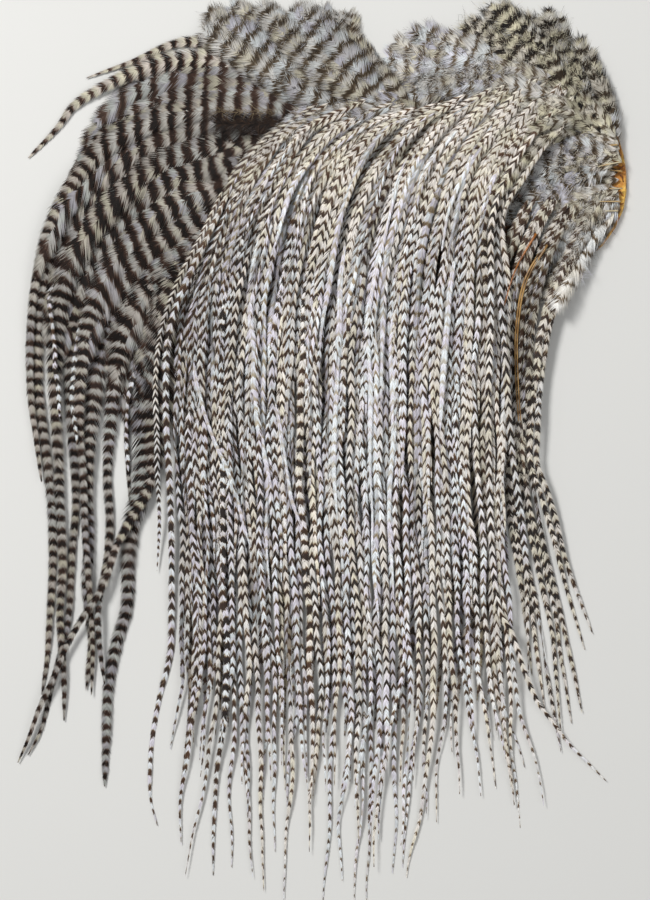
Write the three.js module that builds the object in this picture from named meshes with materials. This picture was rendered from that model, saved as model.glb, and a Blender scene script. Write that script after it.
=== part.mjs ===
// A rooster's dried skin with its feathers on, lying flat. Millimetres, +Z up.
// The origin is under the middle of the whole, on the surface it lies on; the long tips point to -Y.
// Each feather is laid on the ones before it: a height map of the pile says how far it has to rise.
import * as THREE from 'three';

// Driving dimensions
const hackleWidth = 3.2; // one long hackle across its vanes
const hackleHeight = 0.85; // the crown of a feather over its edges
const hacklesPerLock = 3; // long hackles that cling together in one lock of the main panel
const lockCount = 22; // locks of the main panel, in two layers, one over the gaps of the other
const lockSpacing = 0.5; // between the middles of two locks of the two layers, in lines of the flow
const firstLock = 0.25; // place of the first lock, in lines of the flow
const lockGap = 2.3; // between two neighbouring locks of one layer
const narrowestLock = 1.4;
const underLockHeight = 1.1;
const sideFeatherHeight = 1.1;
const tuftHeight = 1.6;
const tipEndWidth = 0.5; // a feather's last barbs
const minHeight = 0.42; // no feather is thinner than this
const hideThickness = 1.2;
const hideRimRise = 0.7; // the dried right-hand edge is thicker
const hideBevel = 0.6;
const clearance = 0.36; // left between a feather and what it lies on
const liftTolerance = 0.02; // a feather is lifted until it lacks less than this
const cell = 0.4; // side of the height map's squares
const mapReach = [124, 178]; // half sizes of the height map
const maxTurn = 0.21; // radians between two sections of a feather
const maxStep = 42; // millimetres between two sections
const fewestSteps = 4; // along one feather
const tipPlaces = [0.4, 0.75, 1]; // sections of a free tip
const routeSamples = 200; // places tried along a route for its sections
const headingReach = 0.004; // a route's heading is measured over this share of it to each side
const lowestShare = 0.35; // height that the narrowest stretch of a feather keeps, of its full height
const tipBend = 0.64; // place of a free tip's last handle on the straight way to its end

// Upper side of a feather, as points [across, up] in shares of its half width and height
const vaneCrown = [[0.55, 0.72], [0, 1], [-0.55, 0.72]]; // a lone feather, with its shaft as a ridge
const tipShoulder = [0.5, 0.6]; // a free tip, on a side where it meets another
const grooveHeight = 0.5; // between two feathers of a lock

// Share of its stem over which a lock widens
const tuftSpread = 0.8;
const rightLockSpread = 0.4;

// The hide's outline, counter-clockwise from its right end
const hideOutline = [
  [115, 106], [112, 119], [104, 133], [88, 144], [66, 144], [40, 138], [14, 134], [-8, 134],
  [-20, 122], [-24, 95], [-20, 68], [-8, 55], [12, 49], [42, 50], [68, 59], [92, 68], [106, 78], [114, 92],
];
const hideRimStart = 98; // the rim thickens from this X on to the right end

// Flow lines of the main panel, from the roots to where the tips part. The eight points of each line
// match those of its neighbours. `at` is the line's place across the panel.
const panelFlow = [
  { at: 0, line: [[-10, 127], [-24, 117], [-35, 103], [-44, 82], [-54, 55], [-57, 19], [-55, -27], [-54, -76]] },
  { at: 2, line: [[14, 131], [-3, 123], [-16, 108], [-27, 87], [-34, 57], [-37, 19], [-36, -27], [-35, -76]] },
  { at: 4, line: [[32, 128], [15, 121], [2, 109], [-7, 87], [-13, 57], [-15, 19], [-14, -27], [-11, -76]] },
  { at: 6, line: [[51, 132], [36, 123], [25, 108], [18, 87], [12, 57], [9, 19], [10, -27], [12, -76]] },
  { at: 8, line: [[71, 138], [59, 127], [47, 112], [39, 89], [33, 57], [32, 19], [33, -27], [35, -76]] },
  { at: 10, line: [[86, 135], [76, 122], [66, 107], [60, 87], [58, 57], [57, 19], [59, -27], [62, -76]] },
  { at: 11, line: [[94, 128], [84, 118], [74, 103], [67, 87], [69, 60], [68, 19], [68, -27], [71, -76]] },
];

// Tips are listed from the right-hand side of the way they point to the left-hand side, so those
// that point down the panel run from left to right as it is seen from above.

// The tips of the main panel's locks; the locks of the lower and the upper layer by turns
const panelTips = [
  [[-58, -114], [-55, -128], [-49, -112]], [[-56, -150], [-50, -121], [-47, -108]],
  [[-50, -124], [-46, -118], [-41, -110]], [[-55, -162], [-44, -162], [-37, -111]],
  [[-36, -159], [-32, -163], [-28, -140]], [[-31, -128], [-26, -168], [-20, -126]],
  [[-24, -133], [-20, -153], [-16, -130]], [[-17, -120], [-13, -172], [-9, -130]],
  [[-14, -136], [-8, -126], [-5, -118]], [[-8, -134], [-4, -153], [0, -130]],
  [[-5, -133], [0, -173], [5, -126]], [[3, -128], [6, -164], [12, -150]],
  [[8, -140], [14, -172], [18, -172]], [[13, -136], [17, -148], [21, -159]],
  [[20, -148], [22, -161], [26, -128]], [[23, -133], [28, -151], [33, -128]],
  [[29, -159], [34, -140], [39, -122]], [[32, -163], [43, -142], [49, -131]],
  [[51, -116], [56, -132], [61, -110]], [[58, -116], [64, -129], [70, -120]],
  [[65, -110], [71, -136], [76, -121]], [[68, -128], [74, -144], [79, -136]],
];

// Shorter hackles under the main panel, in broad locks; `at` is a lock's place across the panel
const underLocks = [
  { at: 1.1, tips: [[-55, -96], [-49, -104], [-43, -100], [-37, -106]] },
  { at: 3.3, tips: [[-33, -108], [-26, -104], [-19, -112], [-12, -106]] },
  { at: 5.5, tips: [[-9, -110], [-3, -116], [4, -110], [11, -116]] },
  { at: 7.7, tips: [[15, -112], [23, -118], [30, -110], [38, -108]] },
  { at: 9.9, tips: [[42, -104], [50, -108], [58, -102], [66, -98]] },
];
const underLockHalf = 1.05; // half of a broad lock, in lines of the flow
const underLockReach = [0.06, 0.9]; // the part of the flow lines that they follow

// Width along a feather, as pairs of place and share of the greatest width
const webbyShape = [[0, 0.45], [0.2, 0.95], [0.5, 1], [0.64, 0.62], [0.88, 0.46], [1, 0.08]];
const hackleShape = [[0, 0.6], [0.15, 1], [0.72, 0.92], [0.9, 0.6], [1, 0.16]];
const quillShape = [[0, 1], [0.8, 0.9], [1, 0.5]];
const roundShape = [[0, 0.35], [0.4, 0.9], [0.8, 1], [0.94, 0.75], [1, 0.3]];
const tipShape = [[0, 1], [0.45, 0.84], [0.8, 0.5], [1, 0.16]];
const softTipShape = [[0, 1], [0.55, 0.95], [0.85, 0.7], [1, 0.28]];

// The side feathers, fanned from the hide to the left and down, from the top one inwards. They lie in
// two layers by turns.
const sideFeathers = [
  { width: 5, line: [[2, 141], [-21, 150], [-43, 155], [-57, 155], [-71, 149], [-85, 144], [-90.5, 142]] },
  { width: 7.6, line: [[0, 138], [-25, 145], [-48, 149], [-67, 146], [-85, 138], [-96, 131], [-101, 124],
    [-106.5, 118], [-113, 111.5]] },
  { width: 6.2, line: [[-1, 134], [-27, 137], [-53, 135], [-74, 128], [-88, 117], [-97, 103], [-103, 89],
    [-106, 76]] },
  { width: 5.6, line: [[-2, 129], [-27, 131], [-53, 128], [-76, 120], [-90, 109], [-100, 95], [-107, 78],
    [-111, 59], [-112.5, 40], [-112, 19], [-110, 4], [-108, -12]] },
  { width: 6.4, line: [[-3, 123], [-26, 125], [-51, 122], [-74, 112], [-90, 98], [-101, 82], [-107.5, 63],
    [-110, 42], [-109, 19], [-106, -4], [-104, -27], [-104, -48], [-105, -65], [-106, -80], [-108, -93]] },
  { width: 6.6, line: [[-4, 117], [-26, 118], [-49, 114], [-71, 103], [-87, 87], [-98, 68], [-102, 49],
    [-103, 27], [-102, 4], [-101, -19], [-100, -42], [-101, -65], [-99.5, -86], [-99.5, -103]] },
  { width: 5.2, line: [[-5, 111], [-27, 111], [-49, 106], [-70, 95], [-85, 78], [-94, 57], [-97, 36], [-97, 19],
    [-96, 0], [-95, -19], [-96.5, -40], [-98, -65], [-101, -78], [-104.5, -91], [-108, -106], [-113, -116]] },
  { width: 5, line: [[-6, 104], [-27, 104], [-49, 99], [-68, 87], [-82, 68], [-90, 48], [-93, 27],
    [-93.5, 8], [-92, -9], [-91.5, -27], [-89.5, -57], [-88.5, -76], [-89, -93]] },
  { width: 8, line: [[-6, 97], [-27, 97], [-47, 90], [-66, 76], [-79, 57], [-85.5, 38], [-88.5, 19],
    [-90, 0], [-90.5, -19], [-90, -35], [-91, -53], [-89, -72], [-91, -91]] },
  { width: 5.8, line: [[-8, 89], [-27, 89], [-46, 82], [-63, 66], [-75, 47], [-80, 27], [-82, 8],
    [-83, -11], [-82, -27], [-83, -42], [-86, -57], [-86, -72], [-84, -89]] },
  { width: 4, line: [[-9, 80], [-28, 80], [-46, 74], [-59, 61], [-69, 44], [-74, 27], [-75.5, 11],
    [-75, -9], [-74, -23]] },
  { width: 4.8, line: [[-11, 70], [-32, 74], [-49, 70], [-59, 57], [-63, 38], [-64, 19], [-65, 4], [-67, -14],
    [-72.5, -24], [-79, -36], [-85, -53], [-93, -65], [-99, -76], [-103, -86], [-109, -99], [-113, -110],
    [-117, -119]] },
  { width: 8.8, line: [[-10, 63], [-29, 68], [-46, 67], [-58, 57], [-65.5, 40], [-67.5, 19], [-68.5, -2],
    [-70.5, -18], [-74, -29], [-75, -45], [-75.5, -60], [-79, -72], [-82, -86], [-83, -96], [-83.5, -111],
    [-84, -128]] },
];

// Short webby feathers: each tuft is a few that cling together, with their tips free. `width` is that
// of the tuft at its root and where the tips part.
const tufts = {
  left_tuft_1: { width: [5, 17], line: [[16, 127], [0, 137], [-19, 149]],
    tips: [[-34, 170], [-44, 168], [-46, 159]] },
  left_tuft_3: { width: [5, 13], line: [[31, 131], [18, 141], [7, 153]],
    tips: [[10, 164], [4, 169.5], [-3, 168]] },
  left_tuft_2: { width: [5, 16], line: [[24, 130], [9, 142], [-6, 156]],
    tips: [[-8, 167], [-16, 166], [-24, 169]] },
  right_tuft_1: { width: [5, 19], line: [[80, 137], [63, 144], [44, 148]],
    tips: [[38, 161], [29, 158], [23, 152], [26, 145]] },
  right_tuft_3: { width: [6, 17], line: [[108, 110], [104, 125], [97, 141]],
    tips: [[101, 152], [92, 163], [85, 168]] },
  right_tuft_2: { width: [5, 16], line: [[94, 130], [84, 142], [76, 153]],
    tips: [[68, 170], [59, 168], [52, 161]] },
  downy_patch_1: { width: [6, 20], line: [[109, 111], [99, 110], [90, 107]],
    tips: [[74, 113], [71, 104], [69, 94], [72, 86]] },
  downy_patch_2: { width: [6, 17], line: [[110, 100], [103, 93], [95, 87]],
    tips: [[77, 80], [84, 71], [94, 67]] },
};

// Hackles rooted at the hide's lower right edge, in locks
const rightLocks = [
  { width: [2.6, 3], line: [[80, 96], [72.5, 82], [67, 68], [65, 50], [64.5, 38], [65, 19], [66, -1],
    [66.5, -26], [66, -38]],
    tips: [[66, -92]] },
  { width: [4, 5.6], line: [[87, 96], [79, 82], [74, 66], [71.5, 49], [70.5, 30], [70.5, 8], [71, -11],
    [73.5, -34], [77, -53]],
    tips: [[79, -86], [84, -100], [90, -115]] },
  { width: [4, 6.2], line: [[94, 93], [86, 79], [80, 63], [77, 46], [76, 27], [75.5, 8], [76.5, -11],
    [80, -30], [85.5, -53]],
    tips: [[90, -108], [94, -104], [98, -100]] },
  { width: [3.4, 4.8], line: [[101, 90], [94, 76], [88, 62], [84, 49], [81.3, 31], [79.7, 7], [79.5, -5],
    [83.5, -17], [88, -34]],
    tips: [[99, -76], [102, -70]] },
];

// Quills and the plain feather, which lie under the locks
const loweredSingles = {
  plain_brown_feather: { finish: 'plainBrown', width: 11, shape: roundShape,
    line: [[-6, 123], [-24, 124], [-40, 124]] },
  bare_quill_tan: { finish: 'quill', width: 1.7, shape: quillShape,
    line: [[84, 78], [76, 64], [73, 46], [73, 26], [74, 11]] },
  bare_quill_orange: { finish: 'quill', width: 1.1, shape: quillShape,
    line: [[80, 82], [73, 70], [70, 62], [68, 55]] },
};

// Hackles at the panel's edges. Two of them first follow the panel's flow: from the roots at a place
// across the panel to a share of the way down.
const edgeHackles = {
  edge_hackle_1: { width: 3, line: [[-39, 98], [-47, 81], [-54, 67], [-60, 52], [-63.5, 38], [-64.5, 23],
    [-64, 8], [-63.5, -11], [-63, -27], [-64, -46]] },
  edge_hackle_2: { width: 3.2, line: [[-37, 97], [-44, 82], [-50, 69], [-56, 55], [-59.5, 42], [-60.5, 19],
    [-59, -14], [-58.5, -35], [-58.5, -65], [-59, -78], [-63.5, -96], [-66.5, -116], [-66.5, -133], [-64, -143]] },
  crossing_hackle: { width: 2.6, flow: { at: 10.75, until: 0.62 },
    line: [[71, -1], [73, -14], [75, -27], [76.5, -42], [77, -57], [77.5, -85]] },
  stray_hackle: { width: 3, flow: { at: 10.45, until: 0.84 },
    line: [[66, -60], [71, -70], [75, -82], [81, -96], [87, -104], [93, -112], [100, -119], [107, -126]] },
};

const finishes = {
  hide: new THREE.MeshStandardMaterial({ color: 0xc68a3c, roughness: 0.62 }),
  paleHackle: new THREE.MeshStandardMaterial({ color: 0xc9bfa6, roughness: 0.55 }),
  underHackle: new THREE.MeshStandardMaterial({ color: 0xa79c88, roughness: 0.6 }),
  sideFeather: new THREE.MeshStandardMaterial({ color: 0x7a6c5e, roughness: 0.6 }),
  softWeb: new THREE.MeshStandardMaterial({ color: 0x998d7e, roughness: 0.75 }),
  plainBrown: new THREE.MeshStandardMaterial({ color: 0x2c211a, roughness: 0.65 }),
  quill: new THREE.MeshStandardMaterial({ color: 0xa8844a, roughness: 0.4 }),
};

const { lerp, clamp, smoothstep, euclideanModulo } = THREE.MathUtils;
const group = new THREE.Group();

// Height of the pile over the surface it lies on, in squares of `cell`
class HeightMap {
  constructor() {
    this.columns = Math.ceil((2 * mapReach[0]) / cell);
    this.rows = Math.ceil((2 * mapReach[1]) / cell);
    this.heights = new Float32Array(this.columns * this.rows);
  }

  // Calls visit(index, x, y) for each square that comes within `margin` of a convex outline
  squaresNear(outline, margin, visit) {
    const reach = margin + cell * Math.SQRT1_2;
    const turn = Math.sign(THREE.ShapeUtils.area(outline));
    const edges = outline.map((from, i) => {
      const along = outline[(i + 1) % outline.length].clone().sub(from).normalize();
      return { from, outX: turn * along.y, outY: -turn * along.x };
    });
    const box = new THREE.Box2().setFromPoints(outline).expandByScalar(reach);
    const column = (x) => clamp(Math.floor((x + mapReach[0]) / cell), 0, this.columns - 1);
    const row = (y) => clamp(Math.floor((y + mapReach[1]) / cell), 0, this.rows - 1);
    for (let r = row(box.min.y); r <= row(box.max.y); r++) {
      const y = (r + 0.5) * cell - mapReach[1];
      for (let c = column(box.min.x); c <= column(box.max.x); c++) {
        const x = (c + 0.5) * cell - mapReach[0];
        const near = edges.every(({ from, outX, outY }) => (x - from.x) * outX + (y - from.y) * outY < reach);
        if (near) visit(r * this.columns + c, x, y);
      }
    }
  }

  raise(outline, heightAt) {
    this.squaresNear(outline, 0, (index, x, y) => {
      this.heights[index] = Math.max(this.heights[index], heightAt(x, y));
    });
  }
}

const pile = new HeightMap();

const lowerEdges = [[-1, 0], [1, 0]];

// A closed skin of triangles over rings of vertices. Looking the way a feather points, a ring runs
// from its lower right vertex to the lower left one and back over the top.
class Shell {
  constructor() {
    this.positions = [];
    this.faces = [];
  }

  vertex(x, y, z) {
    return this.positions.push(x, y, z) / 3 - 1;
  }

  // One ring of a section: its two lower edges and the given points [across, up] of its upper side
  ring(section, upper) {
    return [...lowerEdges, ...upper].map(([across, up]) => this.vertex(
      section.x + section.leftX * across * section.half,
      section.y + section.leftY * across * section.half,
      section.z + up * section.height,
    ));
  }

  side(ringA, ringB, first = 0) {
    for (let i = first; i < ringA.length; i++) {
      const j = (i + 1) % ringA.length;
      this.faces.push(ringA[i], ringA[j], ringB[j], ringA[i], ringB[j], ringB[i]);
    }
  }

  fan(outline) {
    for (let i = 1; i < outline.length - 1; i++) this.faces.push(outline[0], outline[i], outline[i + 1]);
  }

  // Closes the start of a feather or a lock
  startCap(ring, upper) {
    const outline = [...lowerEdges, ...upper].map(([across, up]) => new THREE.Vector2(across, up));
    for (const [a, b, c] of THREE.ShapeUtils.triangulateShape(outline, [])) {
      this.faces.push(ring[a], ring[c], ring[b]);
    }
  }

  add(name, finish) {
    const geometry = new THREE.BufferGeometry();
    geometry.setAttribute('position', new THREE.Float32BufferAttribute(this.positions, 3));
    geometry.setIndex(this.faces);
    geometry.computeVertexNormals();
    const mesh = new THREE.Mesh(geometry, finishes[finish]);
    mesh.name = name;
    group.add(mesh);
  }
}

function curve(points) {
  return new THREE.CatmullRomCurve3(points.map(([x, y]) => new THREE.Vector3(x, y, 0)));
}

// Value at t of pairs of place and value, eased between them
function profile(pairs, t) {
  const i = Math.max(1, pairs.findIndex(([place]) => place >= t));
  const [[t0, v0], [t1, v1]] = [pairs[i - 1], pairs[i]];
  return lerp(v0, v1, smoothstep(t, t0, t1));
}

// A point of the main panel: `at` across it, t from the roots to where the tips part
const flowCurves = panelFlow.map(({ line }) => curve(line));
function flow(at, t) {
  const beyond = panelFlow.findIndex((line) => line.at > at);
  const i = beyond < 0 ? panelFlow.length - 1 : Math.max(1, beyond);
  const share = (at - panelFlow[i - 1].at) / (panelFlow[i].at - panelFlow[i - 1].at);
  return flowCurves[i - 1].getPoint(t).lerp(flowCurves[i].getPoint(t), share);
}

function sectionAt(point, heading, t) {
  return { x: point.x, y: point.y, heading, t, leftX: -Math.sin(heading), leftY: Math.cos(heading), z: 0 };
}

function headingOf(pointAt, t) {
  const way = pointAt(Math.min(t + headingReach, 1)).sub(pointAt(Math.max(t - headingReach, 0)));
  return Math.atan2(way.y, way.x);
}

// Sections along a route, closer together where it turns
function sections(pointAt) {
  const found = [sectionAt(pointAt(0), headingOf(pointAt, 0), 0)];
  let length = 0;
  for (let i = 1; i <= routeSamples; i++) {
    length += pointAt(i / routeSamples).distanceTo(pointAt((i - 1) / routeSamples));
  }
  const step = Math.min(maxStep, length / fewestSteps);
  for (let i = 1; i <= routeSamples; i++) {
    const next = sectionAt(pointAt(i / routeSamples), headingOf(pointAt, i / routeSamples), i / routeSamples);
    const last = found.at(-1);
    const turned = Math.abs(euclideanModulo(next.heading - last.heading + Math.PI, 2 * Math.PI) - Math.PI);
    const walked = Math.hypot(next.x - last.x, next.y - last.y);
    if (turned > maxTurn || walked > step || i === routeSamples) found.push(next);
  }
  const [beforeLast, last] = found.slice(-2);
  if (Math.hypot(last.x - beforeLast.x, last.y - beforeLast.y) < step / 4) found.splice(-2, 1);
  return found;
}

function pairsOf(list, use) {
  for (let i = 1; i < list.length; i++) use(list[i - 1], list[i]);
}

// Ground plan of the stretch between two sections
function footprint(a, b) {
  return [[a, 1], [a, -1], [b, -1], [b, 1]].map(([section, side]) => new THREE.Vector2(
    section.x + section.leftX * side * section.half,
    section.y + section.leftY * side * section.half,
  ));
}

function shareAlong(a, b, x, y) {
  const [dx, dy] = [b.x - a.x, b.y - a.y];
  return clamp(((x - a.x) * dx + (y - a.y) * dy) / (dx * dx + dy * dy), 0, 1);
}

// Lifts two neighbouring sections until the underside between them clears the pile. The square that
// is worst off comes first; both ends rise for it, the nearer one more.
function liftOver(a, b) {
  const squares = [];
  pile.squaresNear(footprint(a, b), clearance, (index, x, y) => {
    if (pile.heights[index]) squares.push([shareAlong(a, b, x, y), pile.heights[index] + clearance]);
  });
  for (;;) {
    let [worst, worstShare] = [liftTolerance, 0];
    for (const [share, wanted] of squares) {
      const missing = wanted - lerp(a.z, b.z, share);
      if (missing > worst) [worst, worstShare] = [missing, share];
    }
    if (worst === liftTolerance) return;
    const spread = (1 - worstShare) ** 2 + worstShare ** 2;
    a.z += (worst * (1 - worstShare)) / spread;
    b.z += (worst * worstShare) / spread;
  }
}

function heap(a, b) {
  pile.raise(footprint(a, b), (x, y) => lerp(a.z + a.height, b.z + b.height, shareAlong(a, b, x, y)));
}

function heightFor(section, fullHeight, fullHalf) {
  return Math.max(fullHeight * Math.min(1, lerp(lowestShare, 1, section.half / fullHalf)), minHeight);
}

// One feather by itself, with its shaft as a ridge along its upper side
function addFeather(name, { finish, pointAt, width, height, shape }) {
  const stem = sections(pointAt);
  for (const section of stem) {
    section.half = Math.max(width * profile(shape, section.t), tipEndWidth) / 2;
    section.height = heightFor(section, height, width / 2);
  }
  pairsOf(stem, liftOver);
  pairsOf(stem, heap);
  const shell = new Shell();
  const rings = stem.map((section) => shell.ring(section, vaneCrown));
  pairsOf(rings, (a, b) => shell.side(a, b));
  shell.startCap(rings[0], vaneCrown);
  shell.fan(rings.at(-1));
  shell.add(name, finish);
}

// The free end of one feather of a lock: it leaves the stem its way and bends to its tip
function freeTip(start, end, shape) {
  const from = new THREE.Vector3(start.x, start.y, 0);
  const to = new THREE.Vector3(...end, 0);
  const leave = new THREE.Vector3(Math.cos(start.heading), Math.sin(start.heading), 0);
  const bend = new THREE.CubicBezierCurve3(
    from, from.clone().addScaledVector(leave, from.distanceTo(to) / 3), from.clone().lerp(to, tipBend), to,
  );
  const pointAt = (t) => bend.getPoint(t);
  return tipPlaces.map((t) => {
    const section = sectionAt(pointAt(t), headingOf(pointAt, t), t);
    section.half = Math.max(start.half * profile(shape, t), tipEndWidth / 2);
    section.height = heightFor(section, start.height, start.half);
    return section;
  });
}

// Feathers that cling together side by side along the stem and part at its end. `widthAt` gives the
// stem's width at a section.
function addLock(name, { finish, pointAt, widthAt, height, tips, shape = tipShape }) {
  const count = tips.length;
  const edgeOf = (j) => (2 * j) / count - 1; // across, from the right-hand edge of feather j
  const stem = sections(pointAt);
  for (const section of stem) section.half = widthAt(section) / 2;
  const fullHalf = Math.max(...stem.map(({ half }) => half));
  for (const section of stem) section.height = heightFor(section, height, fullHalf);
  pairsOf(stem, liftOver);

  const end = stem.at(-1);
  const starts = tips.map((_, j) => {
    const across = edgeOf(j + 0.5) * end.half;
    return { ...end, x: end.x + end.leftX * across, y: end.y + end.leftY * across, half: end.half / count };
  });
  const free = tips.map((tip, j) => freeTip(starts[j], tip, shape));
  free.forEach((tip, j) => pairsOf([starts[j], ...tip], liftOver));
  end.z = Math.max(...starts.map(({ z }) => z));
  for (const start of starts) start.z = end.z;
  pairsOf(stem, heap);
  free.forEach((tip, j) => pairsOf([starts[j], ...tip], heap));

  // The stem's upper side has a crown over each feather and a groove between two
  const shell = new Shell();
  const upper = Array.from({ length: 2 * count - 1 },
    (_, i) => [edgeOf(count - (i + 1) / 2), i % 2 ? grooveHeight : 1]);
  const rings = stem.map((section) => shell.ring(section, upper));
  shell.startCap(rings[0], upper);
  pairsOf(rings.slice(0, -1), (a, b) => shell.side(a, b));
  const [before, last] = rings.slice(-2);
  shell.side(before, last, 1);

  // At the stem's end its underside also meets the edges between the feathers
  const seams = tips.slice(1).map((_, j) => shell.vertex(
    end.x + end.leftX * edgeOf(j + 1) * end.half, end.y + end.leftY * edgeOf(j + 1) * end.half, end.z,
  ));
  const edges = [last[0], ...seams, last[1]];
  shell.fan([before[0], before[1], ...[...edges].reverse()]);

  // Each free tip starts as its feather's share of the stem's last ring
  free.forEach((tip, j) => {
    const crown = 2 * (count - j);
    const [hasLeft, hasRight] = [j < count - 1, j > 0];
    const [across, up] = tipShoulder;
    let ring = [edges[j], edges[j + 1], ...last.slice(crown - (hasLeft ? 1 : 0), crown + (hasRight ? 2 : 1))];
    const shoulders = [...(hasLeft ? [[across, up]] : []), [0, 1], ...(hasRight ? [[-across, up]] : [])];
    for (const section of tip) {
      const next = shell.ring(section, shoulders);
      shell.side(ring, next);
      ring = next;
    }
    shell.fan(ring);
  });
  shell.add(name, finish);
}

// The dried hide: a thin plate with a bevelled edge, thicker along its bare right-hand rim
function addHide() {
  const outline = new THREE.CatmullRomCurve3(hideOutline.map(([x, y]) => new THREE.Vector3(x, y, 0)), true);
  const rim = outline.getPoints(2 * hideOutline.length).slice(0, -1).map(({ x, y }) => new THREE.Vector2(x, y));
  const middle = new THREE.Box2().setFromPoints(rim).getCenter(new THREE.Vector2());
  const topOf = ({ x }) => hideThickness + hideRimRise * smoothstep(x, hideRimStart, hideOutline[0][0]);
  const shell = new Shell();
  const bottom = rim.map(({ x, y }) => shell.vertex(x, y, 0));
  const topPoints = rim.map((point) => {
    const inset = point.clone().add(middle.clone().sub(point).setLength(hideBevel));
    return new THREE.Vector3(inset.x, inset.y, topOf(inset));
  });
  const top = topPoints.map(({ x, y, z }) => shell.vertex(x, y, z));
  shell.side(bottom, top);
  for (const [a, b, c] of THREE.ShapeUtils.triangulateShape(rim, [])) {
    shell.faces.push(bottom[a], bottom[c], bottom[b], top[a], top[b], top[c]);
    const plane = new THREE.Plane().setFromCoplanarPoints(topPoints[a], topPoints[b], topPoints[c]);
    const { normal, constant } = plane;
    pile.raise([rim[a], rim[b], rim[c]], (x, y) => -(normal.x * x + normal.y * y + constant) / normal.z);
  }
  shell.add('hide', 'hide');
}

function along(line) {
  const route = curve(line);
  return (t) => route.getPoint(t);
}

// A route that follows the panel's flow first
function alongFlow({ at, until }, line) {
  const lead = Array.from({ length: 8 }, (_, i) => flow(at, (until * i) / 8)).map(({ x, y }) => [x, y]);
  return along([...lead, ...line]);
}

addHide();
for (const layer of [0, 1]) {
  for (let i = layer; i < sideFeathers.length; i += 2) {
    const { width, line } = sideFeathers[i];
    addFeather(`side_feather_${String(i + 1).padStart(2, '0')}`,
      { finish: 'sideFeather', pointAt: along(line), width, height: sideFeatherHeight, shape: webbyShape });
  }
}
for (const [name, { width, line, tips }] of Object.entries(tufts)) {
  addLock(name, {
    finish: 'softWeb', pointAt: along(line), height: tuftHeight, tips, shape: softTipShape,
    widthAt: ({ t }) => lerp(width[0], width[1], smoothstep(t, 0, tuftSpread)),
  });
}
for (const [name, { finish, width, shape, line }] of Object.entries(loweredSingles)) {
  addFeather(name, { finish, pointAt: along(line), width, height: hackleHeight, shape });
}
rightLocks.forEach(({ width, line, tips }, i) => {
  addLock(`right_lock_${i + 1}`, {
    finish: 'paleHackle', pointAt: along(line), height: hackleHeight, tips,
    widthAt: ({ t }) => lerp(width[0], width[1], smoothstep(t, 0, rightLockSpread)),
  });
});

// Width that a lock may take between two places across the panel, square to the way it points
function roomAcross(section, t, from, to) {
  const room = flow(to, t).sub(flow(from, t));
  return Math.max(Math.abs(room.x * section.leftX + room.y * section.leftY) - lockGap, narrowestLock);
}

underLocks.forEach(({ at, tips }, i) => {
  const [start, until] = underLockReach;
  const place = (t) => lerp(start, until, t);
  addLock(`under_lock_${i + 1}`, {
    finish: 'underHackle', pointAt: (t) => flow(at, place(t)), height: underLockHeight, tips,
    widthAt: (section) => roomAcross(section, place(section.t), at - underLockHalf, at + underLockHalf),
  });
});

// The lower layer of the main panel is laid first, then the upper one over its gaps
const lockWidth = hackleWidth * hacklesPerLock;
for (const layer of [0, 1]) {
  for (let i = layer; i < lockCount; i += 2) {
    const at = firstLock + i * lockSpacing;
    addLock(`hackle_lock_${String(i + 1).padStart(2, '0')}`, {
      finish: 'paleHackle', pointAt: (t) => flow(at, t), height: hackleHeight, tips: panelTips[i],
      widthAt: (section) => Math.min(lockWidth,
        roomAcross(section, section.t, at - lockSpacing, at + lockSpacing)),
    });
  }
}
for (const [name, { width, flow: lead, line }] of Object.entries(edgeHackles)) {
  const pointAt = lead ? alongFlow(lead, line) : along(line);
  addFeather(name, { finish: 'paleHackle', pointAt, width, height: hackleHeight, shape: hackleShape });
}

export default group;
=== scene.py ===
# Rooster cape: barred hackles, webby side feathers and downy tufts on a dried skin.
# Tables are in millimetres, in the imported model's frame. The hackles point to -Y, +Z is up.
import math
from functools import partial

import bpy
import numpy as np
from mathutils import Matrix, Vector
from mathutils.bvhtree import BVHTree


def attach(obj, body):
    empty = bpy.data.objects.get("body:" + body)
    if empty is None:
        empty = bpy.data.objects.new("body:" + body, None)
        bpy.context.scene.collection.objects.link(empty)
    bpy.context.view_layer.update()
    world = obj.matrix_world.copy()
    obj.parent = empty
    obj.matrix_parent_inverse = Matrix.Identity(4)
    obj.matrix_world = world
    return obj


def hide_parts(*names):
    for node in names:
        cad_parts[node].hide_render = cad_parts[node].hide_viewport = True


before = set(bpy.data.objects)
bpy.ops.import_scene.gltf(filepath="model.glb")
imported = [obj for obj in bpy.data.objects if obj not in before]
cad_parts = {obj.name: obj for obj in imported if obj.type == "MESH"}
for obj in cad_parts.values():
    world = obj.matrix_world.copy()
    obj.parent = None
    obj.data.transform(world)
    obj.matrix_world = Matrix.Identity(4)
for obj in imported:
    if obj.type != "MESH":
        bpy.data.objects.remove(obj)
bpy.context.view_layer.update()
metre = 0.001  # one millimetre in metres
print("frame loaded:", len(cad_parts), "nodes")


# Node and colour helpers

# sRGB hex to linear colour
def tint(code):
    parts = [int(code[i:i + 2], 16) / 255 for i in (1, 3, 5)]
    return tuple(c / 12.92 if c <= 0.04045 else ((c + 0.055) / 1.055) ** 2.4 for c in parts) + (1.0,)


# Adds a shader node with its settings and links, and gives back one of its outputs
def addNode(tree, kind, inputs=None, output=0, **settings):
    node = tree.nodes.new("ShaderNode" + kind)
    for key, value in settings.items():
        setattr(node, key, value)
    for key, value in (inputs or {}).items():
        if isinstance(value, bpy.types.NodeSocket):
            tree.links.new(value, node.inputs[key])
        else:
            node.inputs[key].default_value = value
    return node.outputs[output] if len(node.outputs) else None


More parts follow.
